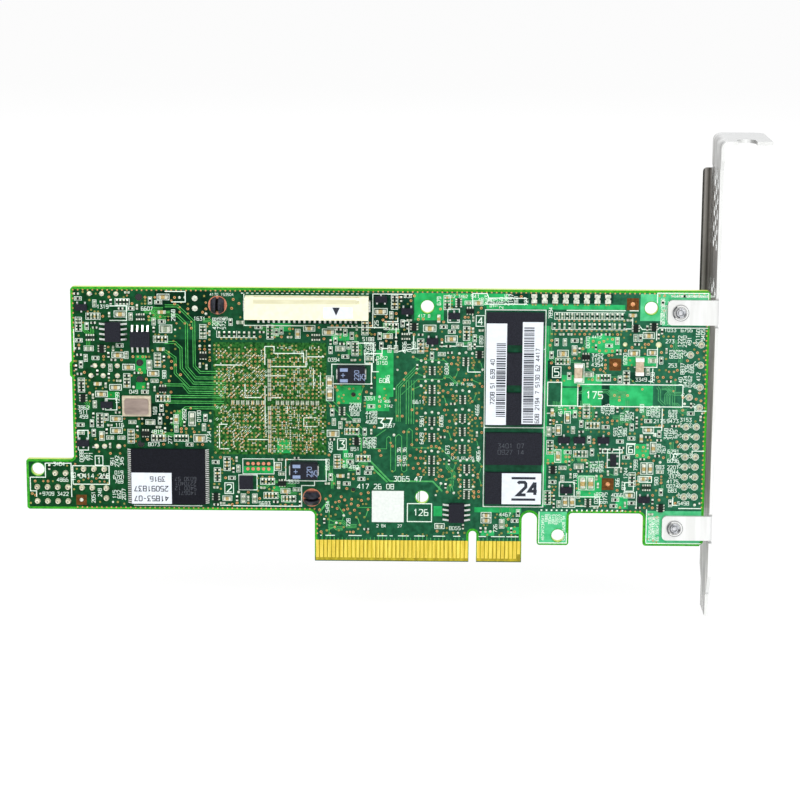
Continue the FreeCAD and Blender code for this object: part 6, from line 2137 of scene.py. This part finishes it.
# The marks on the packages: piece, node, height, turn and lines. Then each ring or arc of
# painted shade round a screw: its radii, its start and its end. The ink of the arrow is this
# deep.
PACKAGE_MARKS = (
    ("flash_marks", "flash_package", 0.9, 0.5, (
        ("6030 57", -68.4, 21.6), ("2270401", -68.4, 20.4), ("5400 12", -68.4, 19.2),
        ("140671", -68.4, 18))),
    ("memory_marks", "memory_chip_2", 1.1, 0.0, (("3401 07", 6, 29.6), ("0927 14", 6, 28))))
SCREW_SHADE_RINGS = (
    (1.92, 2, 0, 1), (1.6, 1.92, 0.34, 0.62), (1.45, 1.52, 0, 1), (1, 1.3, 0.3, 0.72),
    (1, 1.36, 0.86, 0.98), (0.62, 0.7, 0, 1))
INK_DEPTH = 0.006


@dataclass
class Markings:
    """Plain bars and numerals on the labels, the packages and the capacitors."""

    lift: float = 0.004

    def sheet(self, name: str, node: str, finish: Finish) -> Relief:
        """Starts a print that lies on the outer face of a node on the solder side.

        Args:
            name: The piece's name.
            node: The node it lies on.
            finish: The ink.
        Returns:
            The empty print.
        """
        face = (Side.SOLDER.level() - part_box(node)[0].y) / MM
        return Relief(name, Side.SOLDER, finish, self.lift, face)

    def bars(self, ink: Relief, x0: float, x1: float, z0: float, z1: float, seed: int) -> None:
        """Adds a ladder of plain bars of uneven weight.

        Args:
            ink: The print.
            x0: The bars' left end.
            x1: The bars' right end.
            z0: The lowest bar.
            z1: The highest bar.
            seed: The seed of their weights.
        """
        dice = Dice(seed)
        z = z0
        while z < z1:
            thick = dice.choice((0.16, 0.2, 0.3, 0.4))
            ink.plate(x0, z, x1, z + thick)
            z += thick + dice.choice((0.14, 0.2, 0.28))

    def long_labels(self) -> None:
        """Prints the two tall labels."""
        ink = self.sheet("long_label_bars", "long_label_left", PRINT_BLACK)
        self.bars(ink, 5.35, 7.6, 37.5, 55.8, 3)
        ink.number("7208 51 639 40", 4.9, 40.6, 0.95, 0.25, 0.17)
        self.bars(ink, 12, 14.5, 36.1, 59.8, 5)
        ink.number("608 2194 7 5130 62 4417", 15.9, 36, 0.95, 0.25, 0.17)
        ink.build()

    def flash_label(self) -> None:
        """Prints the label on the flash memory."""
        ink = self.sheet("flash_label_numerals", "flash_label", PRINT_BLACK)
        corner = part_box("flash_label")[1]
        for text, off, down, tall in (("3916", 1.6, 1, 1.15), ("25091837", 0.9, 3.4, 1.25),
                                      ("41853-07", 0.9, 5.9, 1.25)):
            ink.number(text, corner.x / MM - off, corner.z / MM - down, tall, 0.5, 0.17)
        ink.build()

    def square_label(self) -> None:
        """Prints plain bars and a number on the small square label."""
        ink = self.sheet("square_label_bars", "square_label", PRINT_BLACK)
        low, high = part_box("square_label")
        x0, x1, z0, z1 = (v / MM for v in (low.x, high.x, low.z, high.z))
        for z in (z0 + 0.9, z1 - 1.5):
            ink.plate(x0 + 2.4, z, x1 - 1.4, z + 0.6)
        ink.number("24", x0 + 4, z0 + 2.4, 3.2, 0.0, 0.24)
        ink.build()

    def connector_label(self) -> None:
        """Prints the first-pin arrow on the connector's label."""
        low, high = (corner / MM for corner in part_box("connector_label"))
        ink = self.sheet("connector_arrow", "connector_label", PRINT_BLACK)
        # the paper gives way by the ink's thickness, so that the print ends where the label does
        ink.base -= INK_DEPTH
        paper = Relief("connector_paper", Side.SOLDER, SLOT_FINISHES[PAPER])
        paper.base = ink.base + INK_DEPTH - (high.y - low.y)
        paper.height = ink.base - paper.base
        paper.plate(low.x, low.z, high.x, high.z)
        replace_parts(paper.build(), "connector_label")
        x, top = low.x + 3.1, high.z - 0.1
        ink.prism([(x - 0.9, top), (x + 0.9, top), (x, top - 2)])
        ink.build()

    def connector_trim(self) -> None:
        """Adds painted shade where the shallow groove runs along the ivory connector."""
        groove = self.sheet("connector_groove", "backup_connector", PAINTED_GROOVE_SHADE)
        # a raised strip of painted shade, not a cut groove
        groove.plate(-53.8, 65.7, -28.8, 66.75)
        groove.build()

    def capacitor_caps(self) -> None:
        """Adds the metal ends of the two large ceramic capacitors."""
        caps = Relief("ceramic_end_caps", Side.SOLDER, CAP_METAL)
        for low, high in islands(frame["nodes"]["ceramic_capacitors"]):
            if high.z - low.z < 3:
                continue
            caps.height = -low.y + 0.02
            for z0, z1 in ((low.z - 0.02, low.z + 0.85), (high.z - 0.85, high.z + 0.02)):
                caps.plate(low.x - 0.02, z0, high.x + 0.02, z1)
        caps.build()

    def screw_shade(self) -> None:
        """Adds painted shade for the pressed collar and thread's end of each bracket screw."""
        bracket = frame["nodes"]["mounting_bracket"]
        left, right, head = EAR
        face = -min(v.co.y for v in bracket.data.vertices
                    if left < v.co.x < right and v.co.z < head) / MM
        rings = Relief("screw_thread_rings", Side.SOLDER, PAINTED_THREAD_SHADE, 0.12, face)
        for low, high in islands(frame["nodes"]["bracket_screws"], Side.SOLDER):
            x, z = (low.x + high.x) / 2, (low.z + high.z) / 2
            # whole thin rings and one-sided arcs, all painted shade on the collar's and thread's
            # edges
            for inner, outer, start, end in SCREW_SHADE_RINGS:
                shut = end - start == 1
                turns = [TURN * (start + (end - start) * i / 20) for i in range(21 - shut)]
                rings.band(*(circle(x, z, r, turns) for r in (outer, inner)), closed=shut)
        rings.build()

    def packages(self) -> None:
        """Prints the faint marks on the moulded packages."""
        for name, node, tall, turn, lines in PACKAGE_MARKS:
            if node not in frame["nodes"]:
                continue
            ink = self.sheet(name, node, PACKAGE_INK)
            for text, x, z in lines:
                ink.number(text, x, z, tall, turn, 0.11)
            ink.build()

    def tantalums(self) -> None:
        """Prints the polarity bars and the values on the moulded capacitors."""
        boxes = sorted(islands(frame["nodes"]["tantalum_capacitors"]), key=lambda box: box[0].x)
        for index, (low, high) in enumerate(boxes):
            if high.x - low.x < 5 or low.y > -0.5:
                continue
            ink = Relief(f"tantalum_marks_{index}", Side.SOLDER, TANTALUM_INK, self.lift, -low.y)
            x, z0, z1 = low.x + 0.7, low.z, high.z
            ink.plate(x, z1 - 1.25, x + 1.9, z1 - 0.4)
            ink.plate(x, z0 + 0.4, x + 1.9, z0 + 1.2)
            ink.number("+", x + 0.2, (z0 + z1) / 2 - 0.9, 1.8, 0.0, 0.1)
            for off, text in ((5.0, "220"), (6.4, "25")):
                ink.number(text, low.x + off + 0.3, z0 + 0.9, 1.05, 0.25, 0.15)
            ink.build()

    def build(self) -> None:
        """Prints everything."""
        self.long_labels()
        self.flash_label()
        self.square_label()
        self.connector_label()
        self.packages()
        self.tantalums()
        self.connector_trim()
        self.capacitor_caps()
        self.screw_shade()


# Push pins


@dataclass
class PushPinSprings:
    """The two wire springs that load the heatsink's push pins."""

    wire: float = 0.62
    turns: float = 3.0
    steps: int = 26

    @staticmethod
    @cache
    def tree() -> Tree:
        """Builds the tree that winds a round wire between two heights."""
        tree, given, out = repeat_tree(
            "wound_spring", Turns=("Float", 3.0), Steps=("Int", 26), Radius=("Float", 2.0),
            Length=("Float", 4.0), Wire=("Float", 0.3))
        coil = add_node(tree, "GeometryNodeCurveSpiral", {
            "Resolution": given["Steps"], "Rotations": given["Turns"],
            "Start Radius": given["Radius"], "End Radius": given["Radius"],
            "Height": given["Length"]})
        profile = add_node(tree, "GeometryNodeCurvePrimitiveCircle",
                           {"Resolution": 10, "Radius": given["Wire"]})
        sweep = add_node(tree, "GeometryNodeCurveToMesh", {
            "Curve": coil.outputs[0], "Profile Curve": profile.outputs[0], "Fill Caps": True})
        return end_tree(tree, given, out, sweep.outputs[0])

    def build(self) -> None:
        """Winds both springs in the room that the model's springs hold."""
        finish = SLOT_FINISHES["spring_steel"]
        half = self.wire / 2
        for which in ("lower", "upper"):
            node = f"pin_spring_{which}"
            low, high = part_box(node)
            centre = (low + high) / 2
            place = Matrix(((MM, 0, 0, centre.x), (0, 0, -MM, high.y - half * MM),
                            (0, MM, 0, centre.z), (0, 0, 0, 1)))
            mesh = settle(node + "_seed", bpy.data.meshes.new(node), self.tree(), {
                "Turns": self.turns, "Steps": self.steps, "Wire": half,
                "Radius": (high.x - low.x) / 2 / MM - half,
                "Length": (high.y - low.y) / MM - self.wire, "Finish": finish.material()}, place)
            piece = add_piece(f"wire_spring_{which}", mesh)
            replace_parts(piece, node)


# Studio


@dataclass
class Studio:
    """The camera, the soft lights and the white floor."""

    pitch: float = 12.438
    yaw: float = 0.661
    roll: float = 0.29
    stand: Spot = (-11.08, -613.86, 176.64)
    lens: float = 115.27
    world: float = 0.8
    glow: float = 0.86
    lamps: tuple[tuple[float, float, float, float, float], ...] = (
        (-350.0, -700.0, 900.0, 600.0, 5.6), (500.0, -500.0, 700.0, 500.0, 3.0),
        (0.0, 800.0, 700.0, 600.0, 5.0))

    def camera(self) -> None:
        """Sets the camera by its place, its three turns and its lens."""
        data = bpy.data.cameras.new("studio_camera")
        data.sensor_width, data.lens = 36.0, self.lens
        data.clip_start, data.clip_end = 0.01, 50.0
        camera = put_object("studio_camera", data)
        pitch, yaw, roll = (math.radians(a) for a in (self.pitch, self.yaw, self.roll))
        right = Vector((math.cos(yaw), math.sin(yaw), 0))
        ahead = Vector((-math.sin(yaw), math.cos(yaw), 0))
        view = ahead * math.cos(pitch) - Vector((0, 0, math.sin(pitch)))
        above = Vector((0, 0, math.cos(pitch))) + ahead * math.sin(pitch)
        turned = right * math.cos(roll) + above * math.sin(roll)
        above = above * math.cos(roll) - right * math.sin(roll)
        turn = Matrix((turned, above, -view)).transposed()
        camera.matrix_world = Matrix.Translation(Vector(self.stand) * MM) @ turn.to_4x4()
        bpy.context.scene.camera = camera

    def lights(self) -> None:
        """Adds wide soft lamps that look at the middle of the card."""
        middle = (CAD_BOX[0] + CAD_BOX[1]) / 2
        for index, (x, y, z, size, power) in enumerate(self.lamps):
            data = bpy.data.lights.new(f"soft_lamp_{index}", "AREA")
            data.shape, data.size, data.energy = "DISK", size * MM, power
            lamp = put_object(data.name, data)
            lamp.location = Vector((x, y, z)) * MM
            lamp.rotation_euler = (middle - lamp.location).to_track_quat("-Z", "Y").to_euler()

    def background(self) -> None:
        """Makes what lies behind the card white, with a softer light on the card itself."""
        world = bpy.data.worlds.new("studio_world")
        world.use_nodes = True
        bpy.context.scene.world = world
        shade = world.node_tree.nodes["Background"].inputs
        shade["Color"].default_value = (1, 1, 1, 1)
        feed(world.node_tree, shade["Strength"], self.seen(world.node_tree, self.world))

    @staticmethod
    def seen(tree: Tree, otherwise: float) -> Socket:
        """Gives 1 to rays that see the background and another value to the rest.

        Args:
            tree: The tree of the world or of a material.
            otherwise: The value for the light that falls on things.
        Returns:
            The value.
        """
        path = tree.nodes.new("ShaderNodeLightPath").outputs
        either = calc(tree, "MAXIMUM", path["Is Camera Ray"], path["Is Glossy Ray"])
        either = calc(tree, "MAXIMUM", either, path["Is Transmission Ray"])
        return spread(tree, either, 0.0, 1.0, otherwise)

    def floor(self, size: float = 6.0) -> None:
        """Lays a wide pale floor under the lowest point of the card.

        Args:
            size: Half its width, in metres.
        """
        made = bpy.data.materials.new("studio_floor")
        made.use_nodes = True
        tree = made.node_tree
        tree.nodes.remove(tree.nodes["Principled BSDF"])
        out = next(node for node in tree.nodes if node.type == "OUTPUT_MATERIAL")
        paint = add_node(tree, "ShaderNodeBsdfDiffuse", {"Color": (0.97, 0.97, 0.97, 1)})
        blend = add_node(tree, "ShaderNodeMixShader", {
            0: calc(tree, "MULTIPLY", self.seen(tree, 0.0), self.glow), 1: paint.outputs[0],
            2: tree.nodes.new("ShaderNodeEmission").outputs[0]})
        feed(tree, out.inputs["Surface"], blend.outputs[0])
        mesh = bpy.data.meshes.new("studio_floor")
        mesh.from_pydata([(x * size, y * size, CAD_BOX[0].z)
                          for x, y in ((-1, -1), (1, -1), (1, 1), (-1, 1))], [], [(0, 1, 2, 3)])
        mesh.materials.append(made)
        floor = put_object("studio_floor", mesh)

    def build(self) -> None:
        """Sets the whole studio."""
        bpy.context.scene.view_settings.view_transform = "Standard"
        self.camera()
        self.lights()
        self.background()
        self.floor()


def main() -> None:
    """Builds the studio, dresses the model and adds every piece in order."""
    logging.basicConfig(level=logging.INFO, format="%(name)s: %(message)s")
    Studio().build()
    dress_model()
    PushPinSprings().build()
    SolderFace(Side.SOLDER, "solder").add_all()
    ComponentFace(Side.COMPONENT, "component").add_all()
    Markings().build()


if __name__ == "__main__":
    main()
